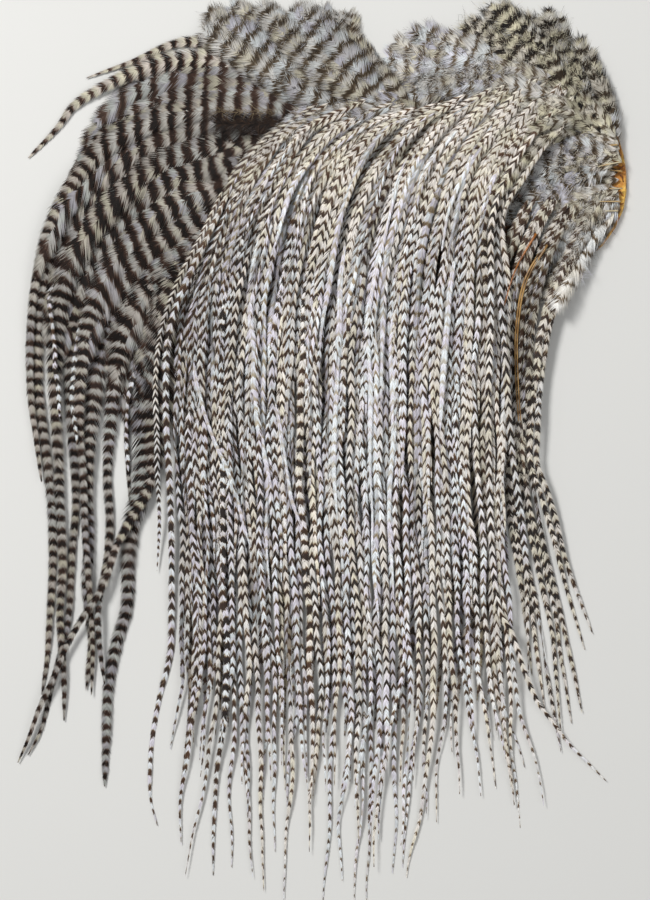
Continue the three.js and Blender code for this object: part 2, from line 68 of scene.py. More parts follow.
# An empty material, and addNode for its tree
def newMaterial(name):
    material = bpy.data.materials.new(name)
    material.use_nodes = True
    material.node_tree.nodes.clear()
    return material, partial(addNode, material.node_tree)


smooth = {"interpolation_type": "SMOOTHSTEP"}  # a Map Range that eases from input 1 to input 2
colours = {"data_type": "RGBA", "output": 2}  # a Mix of the colours 6 and 7 by the share 0
product = {"operation": "MULTIPLY"}
scaled = {"operation": "MULTIPLY_ADD"}  # input 0 times 1 plus 2


# Barred feather keratin. Each vane carries "barring" (place in the bars, pale share, strength) and
# "tone" (warmth, brightness, a random value for each barb), written by the feather maker below.
def barredFeather(name, look):
    material, add = newMaterial(name)
    bars = add("Attribute", attribute_name="barring", output=1)
    place, pale, strength = (add("SeparateXYZ", {0: bars}, k) for k in range(3))
    tones = add("Attribute", attribute_name="tone", output=1)
    warmth, brightness, barb = (add("SeparateXYZ", {0: tones}, k) for k in range(3))
    spot = add("TexCoord", output=3)
    wobble = add("TexNoise", {"Vector": spot, "Scale": look["wobbleScale"], "Detail": 1.0})
    shift = add("Math", {0: wobble, 1: look["wobble"], 2: -0.5 * look["wobble"]}, **scaled)
    turn = add("Math", {0: place, 1: shift}, operation="ADD")
    turn = add("Math", {0: turn}, operation="FRACT")
    # A bar sets in slowly over the pale part and stops sharply
    past = add("Math", {0: turn, 1: pale}, operation="SUBTRACT")
    setsIn = add("MapRange", {0: past, 1: -look["fade"] * look["fadeIn"],
        2: look["fade"] * (1 - look["fadeIn"])}, **smooth)
    stops = add("MapRange", {0: turn, 1: look["stop"], 2: 1.0, 3: 1.0, 4: 0.0}, **smooth)
    dark = add("Math", {0: setsIn, 1: stops}, **product)
    dark = add("Math", {0: dark, 1: strength}, **product)
    patches = add("TexNoise", {"Vector": spot, "Scale": look["patchScale"], "Detail": 2.0})
    share = add("MapRange", {0: patches, 1: 0.4, 2: 0.6}, **smooth)
    cool = add("Mix", {0: share, 6: tint(look["lilac"]), 7: tint(look["blueWhite"])}, **colours)
    warm = add("Mix", {0: share, 6: tint(look["cream"]), 7: tint(look["pinkCream"])}, **colours)
    share = add("MapRange", {0: warmth, 1: 0.25, 2: 0.75}, **smooth)
    colour = add("Mix", {0: share, 6: cool, 7: warm}, **colours)
    for shade, start, end in (("tan", 0.0, 0.34), ("fringe", 0.22, 0.54), ("dark", 0.42, 0.86)):
        share = add("MapRange", {0: dark, 1: start, 2: end}, **smooth)
        colour = add("Mix", {0: share, 6: colour, 7: tint(look[shade])}, **colours)
    light = add("Math", {0: barb, 1: look["fibre"], 2: 1.0 - 0.5 * look["fibre"]}, **scaled)
    # Palest right after each bar
    crest = add("MapRange", {0: turn, 1: 0.05, 2: 0.4, 3: 1.0 + look["crest"], 4: 1.0}, **smooth)
    for factor in (crest, brightness):
        light = add("Math", {0: light, 1: factor}, **product)
    grey = add("CombineColor", {0: light, 1: light, 2: light})
    colour = add("Mix", {0: 1.0, 6: colour, 7: grey}, blend_type="MULTIPLY", **colours)
    # Barbules are finer than a pixel, so they are drawn at about 0.3 mm
    grain = add("TexNoise", {"Vector": spot, "Scale": 3200.0, "Detail": 2.0})
    bump = add("Bump", {"Strength": 0.25, "Distance": 0.0001, "Height": grain})
    rough = add("Math", {0: grain, 1: 0.2, 2: look["roughness"] - 0.1}, **scaled)
    shader = add("BsdfPrincipled", {
        "Base Color": colour, "Roughness": rough, "IOR": 1.54, "Specular IOR Level": look["shine"],
        "Sheen Weight": look["sheen"], "Sheen Roughness": 0.4, "Normal": bump})
    add("OutputMaterial", {"Surface": shader})
    return material


hackleLook = {
    "lilac": "#d9d4de", "blueWhite": "#e3e8ea", "cream": "#ddd6c3", "pinkCream": "#e2dad1",
    "tan": "#ab9c7f", "fringe": "#583a23", "dark": "#1c110a",
    "fade": 0.3, "fadeIn": 0.7, "stop": 0.93, "wobble": 0.34, "wobbleScale": 420.0, "patchScale": 130.0,
    "fibre": 0.42, "crest": 0.08, "roughness": 0.55, "shine": 0.35, "sheen": 0.06,
}
webLook = dict(hackleLook, lilac="#868387", blueWhite="#949691", cream="#979281", pinkCream="#928a82",
    tan="#695d54", fringe="#402c22", dark="#130c08", fade=0.4, fadeIn=0.55, stop=0.8, wobble=0.36,
    wobbleScale=170.0, crest=0.34, roughness=0.66, shine=0.15, sheen=0.0)
softLook = dict(webLook, lilac="#b5b3bb", blueWhite="#c6caca", cream="#bdb6a0", pinkCream="#bfb9b1",
    tan="#877b6b", fringe="#524330", dark="#1d150e", fade=0.42, stop=0.78, wobble=0.55, wobbleScale=200.0,
    fibre=0.5, crest=0.15, shine=0.2)
firmLook = dict(softLook, cream="#cfc8ad", pinkCream="#c9c2b4", fade=0.26, wobble=0.4, fibre=0.4,
    dark="#18110b")
# Painted shade: darker hackle colours for the feathers that lie under the panel
shadedHackleLook = dict(hackleLook, lilac="#a39daa", blueWhite="#a6a9a9", cream="#a1967a", pinkCream="#a6998c")

hackleKeratin = barredFeather("silky barred hackle", hackleLook)  # clean marks, a soft shine along the vane
underKeratin = barredFeather("shaded barred hackle", shadedHackleLook)  # the same feather, darker: painted shade for the layer under the panel
webKeratin = barredFeather("webby barred side feather", webLook)  # broad dark bars with blurred edges
softKeratin = barredFeather("downy barred tuft feather", softLook)  # matt and loose
firmKeratin = barredFeather("firm barred tuft feather", firmLook)  # the same, with clearer marks


# Plain brown down: matt, no bars, paler ends of the barbs
def plainFeather(name):
    material, add = newMaterial(name)
    tones = add("Attribute", attribute_name="tone", output=1)
    brightness, barb = (add("SeparateXYZ", {0: tones}, k) for k in (1, 2))
    spot = add("TexCoord", output=3)
    patches = add("TexNoise", {"Vector": spot, "Scale": 400.0, "Detail": 3.0})
    mixed = add("Math", {0: patches, 1: barb}, **product)
    share = add("MapRange", {0: mixed, 1: 0.14, 2: 0.55}, **smooth)
    brown = add("Mix", {0: share, 6: tint("#120b08"), 7: tint("#3c2b1f")}, **colours)
    share = add("MapRange", {0: brightness, 1: 1.0, 2: 2.0}, **smooth)
    colour = add("Mix", {0: share, 6: brown, 7: tint("#8d7c60")}, **colours)
    grain = add("TexNoise", {"Vector": spot, "Scale": 2600.0, "Detail": 2.0})
    bump = add("Bump", {"Strength": 0.3, "Distance": 0.0001, "Height": grain})
    shader = add("BsdfPrincipled", {"Base Color": colour, "Roughness": 0.66, "IOR": 1.54,
        "Specular IOR Level": 0.18, "Sheen Weight": 0.04, "Normal": bump})
    add("OutputMaterial", {"Surface": shader})
    return material


# Horn of a bare quill: clear yellow horn with darker streaks, satin
def quillHorn(name, light, deep):
    material, add = newMaterial(name)
    spot = add("TexCoord", output=3)
    streaks = add("TexNoise", {"Vector": spot, "Scale": 260.0, "Detail": 4.0})
    share = add("MapRange", {0: streaks, 1: 0.35, 2: 0.65}, **smooth)
    colour = add("Mix", {0: share, 6: tint(light), 7: tint(deep)}, **colours)
    bump = add("Bump", {"Strength": 0.2, "Distance": 0.0002, "Height": streaks})
    shader = add("BsdfPrincipled", {
        "Base Color": colour, "Roughness": 0.36, "IOR": 1.54, "Normal": bump})
    add("OutputMaterial", {"Surface": shader})
    return material


# Dried skin: waxy, orange where the fat has yellowed it, wrinkled, with a pimple for each quill
def driedSkin(name):
    material, add = newMaterial(name)
    spot = add("TexCoord", output=3)
    stains = add("TexNoise", {"Vector": spot, "Scale": 260.0, "Detail": 5.0})
    pimples = add("TexVoronoi", {"Vector": spot, "Scale": 420.0, "Randomness": 0.9})
    wrinkles = add("TexNoise", {"Vector": spot, "Scale": 700.0, "Detail": 6.0})
    rimward = add("SeparateXYZ", {0: spot})
    share = add("MapRange", {0: stains, 1: 0.38, 2: 0.6}, **smooth)
    waxy = add("Mix", {0: share, 6: tint("#e8b854"), 7: tint("#bb7a2c")}, **colours)
    # The skin is dark brown away from the bare rim, under the feathers; only the bare rim is waxy and
    # yellowed
    share = add("MapRange", {0: rimward, 1: 0.100, 2: 0.109}, **smooth)
    skin = add("Mix", {0: share, 6: tint("#2f2219"), 7: waxy}, **colours)
    share = add("MapRange", {0: pimples, 1: 0.14, 2: 0.5}, **smooth)
    colour = add("Mix", {0: share, 6: tint("#7e4716"), 7: skin}, **colours)
    pit = add("MapRange", {0: pimples, 1: 0.0, 2: 0.55, 3: 1.0, 4: 0.0}, **smooth)
    relief = add("Math", {0: wrinkles, 1: 0.6, 2: pit}, **scaled)
    bump = add("Bump", {"Strength": 1.0, "Distance": 0.0009, "Height": relief})
    rough = add("Math", {0: stains, 1: 0.3, 2: 0.32}, **scaled)
    shader = add("BsdfPrincipled", {
        "Base Color": colour, "Roughness": rough, "IOR": 1.5, "Normal": bump})
    add("OutputMaterial", {"Surface": shader})
    return material


brownKeratin = plainFeather("plain brown down")
tanHorn = quillHorn("tan quill horn", "#b08a52", "#7d5a2c")
orangeHorn = quillHorn("orange quill horn", "#a8641a", "#6f3d10")
paleHorn = quillHorn("pale quill horn", "#d6c9a6", "#b7925a")
skinLeather = driedSkin("dried waxy skin")
print("materials made")


# Lines and surfaces

# A centripetal spline through the points, sampled evenly from point to point
def smoothLine(points, count):
    p = np.array(points, float)
    p = np.vstack([2 * p[0] - p[1], p, 2 * p[-1] - p[-2]])
    t = np.linspace(0, len(points) - 1, count)
    i = np.minimum(t.astype(int), len(points) - 2)
    f = (t - i)[:, None]
    p0, p1, p2, p3 = p[i], p[i + 1], p[i + 2], p[i + 3]
    pairs = ((p0, p1), (p1, p2), (p2, p3))
    d0, d1, d2 = (np.sqrt(np.linalg.norm(b - a, axis=1))[:, None] for a, b in pairs)
    m1 = ((p1 - p0) / d0 - (p2 - p0) / (d0 + d1) + (p2 - p1) / d1) * d1
    m2 = ((p2 - p1) / d1 - (p3 - p1) / (d1 + d2) + (p3 - p2) / d2) * d1
    return ((2 * f**3 - 3 * f**2 + 1) * p1 + (f**3 - 2 * f**2 + f) * m1
            + (3 * f**2 - 2 * f**3) * p2 + (f**3 - f**2) * m2)


# How far along the line each of its points lies
def reachOf(line):
    return np.r_[0, np.cumsum(np.linalg.norm(np.diff(line, axis=0), axis=1))]


# The same line with its points `step` apart
def evenly(line, step=1.0):
    reach = reachOf(line)
    places = np.linspace(0, reach[-1], max(4, int(reach[-1] / step) + 1))
    return np.stack([np.interp(places, reach, line[:, k]) for k in range(line.shape[1])], 1)


def headingOf(line):
    way = np.gradient(line, axis=0)
    return way / (np.linalg.norm(way, axis=1)[:, None] + 1e-9)


def leftOf(line):
    way = headingOf(line[:, :2])
    return np.stack([-way[:, 1], way[:, 0]], 1)


# The line moved to its left, by one measure or by one for each point
def moved(line, aside):
    return line + leftOf(line) * np.reshape(aside, (-1, 1))


def easeTo(x, low, high):
    share = np.clip((x - low) / (high - low), 0, 1)
    return share * share * (3 - 2 * share)


# The upper side of CAD nodes, to lay feathers on; millimetres
def surfaceOf(*nodes):
    corners, faces = [], []
    for node in nodes:
        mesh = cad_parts[node].data
        first = len(corners)
        corners += [vertex.co / metre for vertex in mesh.vertices]
        faces += [[first + v for v in face.vertices] for face in mesh.polygons]
    return BVHTree.FromPolygons(corners, faces)


probe = {"above": 60.0, "beside": 3.0}  # heights from which a surface is looked for


# Height of a surface under each point; where it has none, that of the nearest point that has
def heightsOn(surface, xy):
    found = np.full(len(xy), np.nan)
    for i, (x, y) in enumerate(xy):
        hit = surface.ray_cast(Vector((x, y, probe["above"])), Vector((0, 0, -1)))
        if hit[0] is not None:
            found[i] = hit[0].z
    known = np.flatnonzero(~np.isnan(found))
    if len(known) == 0:
        return np.array([surface.find_nearest(Vector((x, y, probe["beside"])))[0].z for x, y in xy])
    return np.interp(np.arange(len(xy)), known, found[known])


# Moving mean with held ends
def soften(values, reach):
    reach = int(min(reach, len(values) // 2))
    if reach < 1:
        return values
    held = np.r_[np.full(reach, values[0]), values, np.full(reach, values[-1])]
    return np.convolve(held, np.ones(2 * reach + 1) / (2 * reach + 1), "valid")


# Rides over bumps: the highest value within reach, softened
def draped(values, reach):
    held = np.r_[np.full(reach, values[0]), values, np.full(reach, values[-1])]
    top = np.max(np.stack([held[i:i + len(values)] for i in range(2 * reach + 1)]), axis=0)
    return soften(top, reach)


# A smooth random wander of about plus or minus one
def wave(places, rng, longest=70.0):
    a, b = rng.uniform(0, 2 * math.pi, 2)
    first = longest * rng.uniform(0.8, 1.3)
    turns = 2 * math.pi * places
    return 0.65 * np.sin(turns / first + a) + 0.35 * np.sin(turns / (0.41 * first) + b)


# The feather maker. One plume gathers the feathers of one piece as arrays.
class Plume:
    def __init__(self):
        self.rows = {"points": [], "barring": [], "tone": [], "map": []}
        self.quads, self.tris = [np.zeros((0, 4), int)], [np.zeros((0, 3), int)]
        self.count, self.lanes = 0, 0

    def add(self, points, barring, tone, place, quads, tris=None):
        for rows, values in zip(self.rows.values(), (points, barring, tone, place)):
            rows.append(values.reshape(-1, values.shape[-1]))
        self.quads.append(quads.reshape(-1, 4) + self.count)
        if tris is not None:
            self.tris.append(tris + self.count)
        self.count += len(self.rows["points"][-1])

    # A strip of the map for one feather
    def newLane(self):
        self.lanes += 1
        return self.lanes - 1

    def build(self, name, material, slotName, *nodes):
        mesh = bpy.data.meshes.new(name)
        points, barring, tone, place = (np.concatenate(rows) for rows in self.rows.values())
        points = points * metre
        points[:, 2] = np.maximum(points[:, 2], 0.05 * metre)  # nothing goes through the surface it lies on
        quads, tris = np.concatenate(self.quads), np.concatenate(self.tris)
        mesh.vertices.add(len(points))
        mesh.vertices.foreach_set("co", points.astype(np.float32).ravel())
        corners = np.concatenate([quads.ravel(), tris.ravel()]).astype(np.int32)
        mesh.loops.add(len(corners))
        mesh.loops.foreach_set("vertex_index", corners)
        mesh.polygons.add(len(quads) + len(tris))
        starts = np.r_[np.arange(len(quads)) * 4, len(quads) * 4 + np.arange(len(tris)) * 3]
        mesh.polygons.foreach_set("loop_start", starts.astype(np.int32))
        mesh.update(calc_edges=True)
        for label, values in (("barring", barring), ("tone", tone)):
            layer = mesh.attributes.new(label, "FLOAT_VECTOR", "POINT")
            layer.data.foreach_set("vector", values.astype(np.float32).ravel())
        place = place / [1, self.lanes]
        layer = mesh.uv_layers.new(name="OFBake")
        layer.data.foreach_set("uv", place[corners].astype(np.float32).ravel())
        mesh.shade_smooth()
        mesh.materials.append(material)
        piece = bpy.data.objects.new(name, mesh)
        bpy.context.scene.collection.objects.link(piece)
        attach(piece, "root")
        if nodes:
            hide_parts(*nodes)
        faceCount[name] = 2 * len(quads) + len(tris)


faceCount = {}
downyPart = 35  # how far from the root the bars stand closer together, in millimetres

# A long narrow feather; widths in millimetres, angles in degrees
hackle = {
    "half": 1.75, "shape": [(0, 0.55), (0.08, 1.0), (0.7, 0.94), (0.88, 0.66), (0.97, 0.3), (1, 0.1)],
    "angle": 27, "spacing": 0.65, "stations": (0, 0.62, 1), "crown": 0.4, "quill": 0.18,
    "pitch": 4.9, "pale": 0.62, "sweep": 1.9, "tipSweep": 0.8, "changeFrom": 0.7, "tipPale": 0.1,
    "tipFade": 0.3, "barbEnd": 0.14, "strength": 1.0, "warmth": 0.5, "brightness": 1.0,
    "roll": 14, "rollBase": 0, "twists": [], "lift": 0.0, "jitter": 0.08, "phaseJitter": 0.06,
    "split": 0.25, "phase": 0.0, "swell": 0.1, "fadeWave": 0.22, "rootWarmth": 0.35, "rootFade": 0.3,
    "clump": 1.3, "clumpPhase": 0.12, "edgeShade": 0.14, "arcs": None, "arcsUntil": 1.0, "wide": 1.0,
    "arch": 0.0, "squeeze": 0.2,
}
sideWeb = dict(hackle, angle=32, spacing=0.53, stations=(0, 0.35, 0.7, 1), crown=0.9, quill=0.18,
    pitch=5.15, pale=0.42, sweep=0.0, tipSweep=0.25, changeFrom=0.35, tipPale=0.08, tipFade=0.1,
    barbEnd=0.36, roll=8, jitter=0.07, phaseJitter=0.06, split=0.9, warmth=0.35, swell=0.06,
    rootWarmth=0.0, rootFade=0.2, clump=3.1, clumpPhase=0.05, fadeWave=0.3, edgeShade=0.16, squeeze=0.0)
tuftWeb = dict(sideWeb, half=4.2, shape=[(0, 0.6), (0.2, 1.0), (0.6, 1.0), (0.85, 0.8), (0.96, 0.5),
    (1, 0.2)], angle=34, spacing=0.38, crown=0.8, quill=0.12, pitch=4.95, pale=0.48, sweep=0.15,
    tipSweep=0.15, roll=10, jitter=0.16, phaseJitter=0.1, split=1.2, clumpPhase=0.09, edgeShade=0.08,
    disorder=0.16, brightness=0.9, barbEnd=0.24)


# An empty plume and its own random numbers
def newPlume(*seed):
    return Plume(), np.random.default_rng(seed)


# One feather along route, a line of points [x, y, z] from its root to its tip
def addFeather(plume, route, look, rng):
    lane = plume.newLane()
    reach, way = reachOf(route), headingOf(route)
    length = reach[-1]
    left = np.stack([-way[:, 1], way[:, 0], np.zeros(len(way))], 1)
    left /= np.linalg.norm(left, axis=1)[:, None] + 1e-9
    upward = np.cross(way, left)
    shapeAt, shapeOf = zip(*look["shape"])
    turned = look["rollBase"] + look["roll"] * wave(reach, rng)
    for place, width, angle in look["twists"]:
        turned = turned + angle * np.exp(-((reach - place * length) / width) ** 2)
    roll = np.radians(turned)[:, None]
    side = np.cos(roll) * left + np.sin(roll) * upward
    top = np.cos(roll) * upward - np.sin(roll) * left
    route = route + np.abs(np.sin(roll)) * look["half"] * max(shapeOf) * 0.5 * np.array([0, 0, 1.0])
    edgeOn = np.sin(roll) ** 2
    fading = look["fadeWave"] * (0.5 + 0.5 * wave(reach, rng, 60))
    bold = look["strength"] * (1 - fading[:, None]) * (1 - 0.45 * edgeOn)
    bold = bold * (1 - look["rootFade"] * (1 - easeTo(reach, 10, 70)))[:, None]
    ochre = look["rootWarmth"] * (1 - easeTo(reach, 20, 90))
    warm = look["warmth"] + 0.2 * wave(reach, rng, 90)[:, None] + ochre[:, None]
    warm = warm * (1 - edgeOn)
    width = (1 + look["swell"] * wave(reach, rng, 50))[:, None]
    table = np.concatenate([route, way, side, top, bold, warm, width], 1)

    # How far along the bars a spot is; with arcs they run on from feather to feather about a centre
    def barsAt(s, spot, out, sweep):
        behind, bow = sweep * out, look["arch"] * out**2
        if not look["arcs"]:
            closer = look["squeeze"] * downyPart * (1 - np.exp(-s / downyPart))
            return s - behind - bow + closer
        radius = np.linalg.norm(route[:, :2] - look["arcs"], axis=1) / look["wide"]
        turnAt = look["arcsUntil"] * length
        outwards = np.linalg.norm(spot[..., :2] - look["arcs"], axis=-1) / look["wide"]
        loose = easeTo(s, turnAt - 12, turnAt + 12)
        onward = np.interp(turnAt, reach, radius) + s - turnAt - bow
        return outwards * (1 - loose) + onward * loose - behind

    def frameAt(s):
        inner = np.clip(s, 0, length)
        columns = [np.interp(inner.ravel(), reach, table[:, k]) for k in range(table.shape[1])]
        row = np.stack(columns, 1).reshape(s.shape + (-1,))
        point = row[..., :3] + (s - inner)[..., None] * row[..., 3:6]
        return point, row[..., 6:9], row[..., 9:12], row[..., 12], row[..., 13]

    # Barbs: narrow strips from the shaft outwards and forwards
    rows = max(6, int(length / look["spacing"]))
    base = np.tile((np.arange(rows) + 0.5) * length / rows, 2)
    hand = np.repeat([-1.0, 1.0], rows)
    half = look["half"] * np.interp(base / length, shapeAt, shapeOf) * np.interp(base, reach, width[:, 0])
    half *= 1 + look["jitter"] * rng.normal(size=2 * rows)
    forward = half / math.tan(math.radians(look["angle"])) * (1 + 0.05 * rng.normal(size=2 * rows))
    clump = np.floor(base / look["clump"] + 0.7 * np.sin(base / 5 + hand + lane) + rng.uniform(0, 9))
    odd = np.sin(clump * 12.9898 + hand * 3.1)  # each clump of barbs has its own lean and its own marks
    cling = look["split"] * (0.5 * odd + 0.5)
    stations = np.array(look["stations"])
    thick = length / rows * np.interp(stations, [0, 0.6, 1], [0.6, 0.56, look["barbEnd"]])
    out = half[:, None] * stations
    ahead = base[:, None] + forward[:, None] * stations * (0.8 + 0.2 * stations)
    ahead += cling[:, None] * stations**2
    sides = np.array([-1.0, 1.0])
    s = ahead[:, :, None] + thick[None, :, None] * sides
    out3 = np.repeat(out[:, :, None], 2, 2)
    point, sideAt, topAt, boldAt, warmAt = frameAt(s)
    outside = point + (hand[:, None, None] * out3)[..., None] * sideAt
    stagger = (0.05 * rng.normal(size=2 * rows))[:, None, None] - 0.05 * sides[None, None, :]
    edge = out3 / (look["half"] * max(shapeOf))  # 0 at the shaft, 1 at the widest edge
    drop = -look["crown"] * edge**2 + stagger * stations[None, :, None]
    points = outside + (drop + look["lift"])[..., None] * topAt
    tipward = easeTo(s / length, look["changeFrom"], 1)  # marks change shape towards the tip
    sweep = look["sweep"] + (look["tipSweep"] - look["sweep"]) * tipward
    stray = look["phaseJitter"] * rng.normal(size=2 * rows) + look["clumpPhase"] * odd
    phase = barsAt(s, outside, out3, sweep) / look["pitch"] + look["phase"] + stray[:, None, None]
    barring = np.stack([phase, look["pale"] + look["tipPale"] * tipward,
        boldAt * (1 - look["tipFade"] * tipward)], -1)
    fibre = np.repeat(rng.uniform(0, 1, 2 * rows), 2 * len(stations)).reshape(phase.shape)
    # Painted shade: each vane darkens towards its edges, where the feathers shade one another
    light = look["brightness"] * (1 - look["edgeShade"] * np.clip(edge, 0, 1) ** 2)
    tone = np.stack([warmAt, light, fibre], -1)
    vane = lane + 0.24 + 0.24 * (hand > 0)[:, None, None]
    place = np.stack([np.clip(s / length, 0, 1) * 0.98 + 0.01,
        vane + 0.2 * np.clip(edge / 1.15, 0, 1) * hand[:, None, None]], -1)
    last = len(stations) - 1
    index = np.arange(2 * rows)[:, None] * (2 * last + 1)
    keep = np.ones(2 * last + 2, bool)
    keep[-1] = False  # a barb ends in one point

    def flat(values):
        return values.reshape(2 * rows, 2 * last + 2, -1)[:, keep]

    tip = flat(points)
    tip[:, -1] = (points[:, -1, 0] + points[:, -1, 1]) / 2
    quads = np.concatenate([index + 2 * k + np.array([[0, 2, 3, 1]]) for k in range(last - 1)])
    tris = index + 2 * (last - 1) + np.array([[0, 2, 1]])
    flip = hand > 0  # both vanes face upwards
    turned = np.tile(flip, last - 1)
    quads[turned] = quads[turned][:, ::-1]
    tris[flip] = tris[flip][:, ::-1]
    plume.add(tip, flat(barring), flat(tone), flat(place), quads, tris)

    # The shaft: a tapered three-sided rod that stands above the vanes
    rings = max(3, int(length / 4))
    s = np.linspace(0, length * 0.995, rings + 1)
    thin = (look["quill"] * (1 - 0.78 * s / length))[:, None]
    point, sideAt, topAt, boldAt, warmAt = frameAt(s)
    low = (look["lift"] - 0.1) * topAt
    rod = np.stack([point + thin * sideAt + low, point + (look["lift"] + thin) * topAt,
        point - thin * sideAt + low], 1)
    phase = np.repeat((barsAt(s, point, 0.0, 0.0) / look["pitch"] + look["phase"])[:, None], 3, 1)
    barring = np.stack([phase, np.full_like(phase, look["pale"]),
        np.repeat(0.85 * boldAt[:, None], 3, 1)], -1)
    tone = np.stack([np.full_like(phase, 0.8), np.full_like(phase, 0.85 * look["brightness"]),
        np.full_like(phase, 0.3)], -1)
    place = np.stack([np.repeat((s / length * 0.98 + 0.01)[:, None], 3, 1),
        lane + 0.92 + np.tile(np.array([0, 0.025, 0.05]), (rings + 1, 1))], -1)
    ring = np.arange(rings)[:, None, None] * 3
    quads = (ring + np.array([[[0, 1, 4, 3], [1, 2, 5, 4], [2, 0, 3, 5]]])).reshape(-1, 4)
    ends = np.array([[0, 2, 1], [3 * rings, 3 * rings + 1, 3 * rings + 2]])
    plume.add(rod, barring, tone, place, quads, ends)


# Loose downy barbs: thin curved ribbons from root points [x, y, z] about one way [x, y]
def addDown(plume, roots, way, look, rng, start=0.0):
    lane = plume.newLane()
    many = len(roots)
    steps = np.linspace(0, 1, 6)
    size = look["length"] * rng.uniform(0.5, 1.15, many)
    turn = rng.normal(0, look["curl"], many)
    heading = np.arctan2(way[1], way[0]) + rng.normal(0, look["spread"], many)
    angle = heading[:, None] + turn[:, None] * steps
    dx, dy = np.cos(angle), np.sin(angle)
    walk = np.diff(steps, prepend=0)[None, :] * size[:, None]
    x = roots[:, :1] + np.cumsum(dx * walk, 1)
    y = roots[:, 1:2] + np.cumsum(dy * walk, 1)
    rise = look["rise"] * rng.uniform(0.2, 1.0, many)[:, None]
    z = roots[:, 2:3] + rise * np.sin(steps * 2.6) - 0.4 * rise * steps
    width = look["width"] * (1 - 0.8 * steps) / 2
    centre = np.stack([x, y, z], -1)
    across = np.stack([-dy * width, dx * width, 0.4 * width * np.ones_like(dx)], -1)
    points = np.stack([centre - across, centre + across], 2)
    start = np.asarray(start) + rng.normal(0, 0.08, many)
    phase = steps[None, :] * size[:, None] / look["pitch"] + start[:, None]
    phase = np.repeat(phase[:, :, None], 2, 2)
    barring = np.stack([phase, np.full_like(phase, look["pale"]), np.full_like(phase, look["strength"])],
        -1)
    fibre = np.repeat(rng.uniform(0, 1, many), 12).reshape(phase.shape)
    tone = np.stack([np.full_like(phase, look["warmth"]), np.full_like(phase, look["brightness"]), fibre],
        -1)
    place = np.stack([np.tile((steps * 0.9 + 0.05)[None, :, None], (many, 1, 2)),
        lane + 0.05 + 0.9 * np.repeat((np.arange(many) / many), 12).reshape(phase.shape)], -1)
    index = np.arange(many)[:, None, None] * 12 + 2 * np.arange(5)[None, :, None]
    quads = (index + np.array([[[0, 2, 3, 1]]])).reshape(-1, 4)
    plume.add(points, barring, tone, place, quads)


def layOn(surface, xy, lift=0.0, drape=4):
    z = draped(heightsOn(surface, xy), drape) + lift
    return np.concatenate([xy, z[:, None]], 1)


# The main panel: flow lines from the roots to where the tips part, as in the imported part
panelFlow = {
    0: [(-10, 127), (-24, 117), (-35, 103), (-44, 82), (-54, 55), (-57, 19), (-55, -27), (-54, -76)],
    2: [(14, 131), (-3, 123), (-16, 108), (-27, 87), (-34, 57), (-37, 19), (-36, -27), (-35, -76)],
    4: [(32, 128), (15, 121), (2, 109), (-7, 87), (-13, 57), (-15, 19), (-14, -27), (-11, -76)],
    6: [(51, 132), (36, 123), (25, 108), (18, 87), (12, 57), (9, 19), (10, -27), (12, -76)],
    8: [(71, 138), (59, 127), (47, 112), (39, 89), (33, 57), (32, 19), (33, -27), (35, -76)],
    10: [(86, 135), (76, 122), (66, 107), (60, 87), (58, 57), (57, 19), (59, -27), (62, -76)],
    11: [(94, 128), (84, 118), (74, 103), (67, 87), (69, 60), (68, 19), (68, -27), (71, -76)],
}
panelTips = [
    [(-58, -114), (-55, -128), (-49, -112)], [(-56, -150), (-50, -121), (-47, -108)],
    [(-50, -124), (-46, -118), (-41, -110)], [(-55, -162), (-44, -162), (-37, -111)],
    [(-36, -159), (-32, -163), (-28, -140)], [(-31, -128), (-26, -168), (-20, -126)],
    [(-24, -133), (-20, -153), (-16, -130)], [(-17, -120), (-13, -172), (-9, -130)],
    [(-14, -136), (-8, -126), (-5, -118)], [(-8, -134), (-4, -153), (0, -130)],
    [(-5, -133), (0, -173), (5, -126)], [(3, -128), (6, -164), (12, -150)],
    [(8, -140), (14, -172), (18, -172)], [(13, -136), (17, -148), (21, -159)],
    [(20, -148), (22, -161), (26, -128)], [(23, -133), (28, -151), (33, -128)],
    [(29, -159), (34, -140), (39, -122)], [(32, -163), (43, -142), (49, -131)],
    [(51, -116), (56, -132), (61, -110)], [(58, -116), (64, -129), (70, -120)],
    [(65, -110), (71, -136), (76, -121)], [(68, -128), (74, -144), (79, -136)],
]
flowSteps = 281
flowLines = {at: smoothLine(line, flowSteps) for at, line in panelFlow.items()}


def flowAt(at):
    places = sorted(flowLines)
    beyond = next((i for i, place in enumerate(places) if place > at), len(places) - 1)
    below, above = places[max(0, beyond - 1)], places[max(1, beyond)]
    share = (at - below) / (above - below)
    return flowLines[below] * (1 - share) + flowLines[above] * share


# From the end of a stem to a free tip
def bendTo(start, way, end, count=60):
    start, way, end = np.array(start, float), np.array(way, float), np.array(end, float)
    first = start + way * np.linalg.norm(end - start) / 3
    second = start + 0.64 * (end - start)
    t = np.linspace(0, 1, count)[:, None]
    return (1 - t)**3 * start + 3 * (1 - t)**2 * t * first + 3 * (1 - t) * t**2 * second + t**3 * end


# A lock's stem, and half its width, which changes over the first share of it
def lockStem(line, widths, spread, count):
    stem = evenly(smoothLine(line, count))
    low, high = widths
    return stem, (low + (high - low) * easeTo(np.linspace(0, 1, len(stem)), 0, spread)) / 2


# The way of one feather of a lock: beside the stem, then on to its own tip
def lockRoute(stem, half, across, tip):
    line = moved(stem, across * half)
    way = line[-1] - line[-4]
    return np.vstack([line, bendTo(line[-1], way / np.linalg.norm(way), tip)[1:]])


def tipAt(tips, place):
    return [np.interp(place, range(len(tips)), tips[:, axis]) for axis in (0, 1)]


def wander(line, amount, rng, longest=80.0):
    reach = reachOf(line)
    hold = easeTo(reach, 0, 20) * easeTo(reach[-1] - reach, 0, 25)
    return moved(line, amount * wave(reach, rng, longest) * hold)


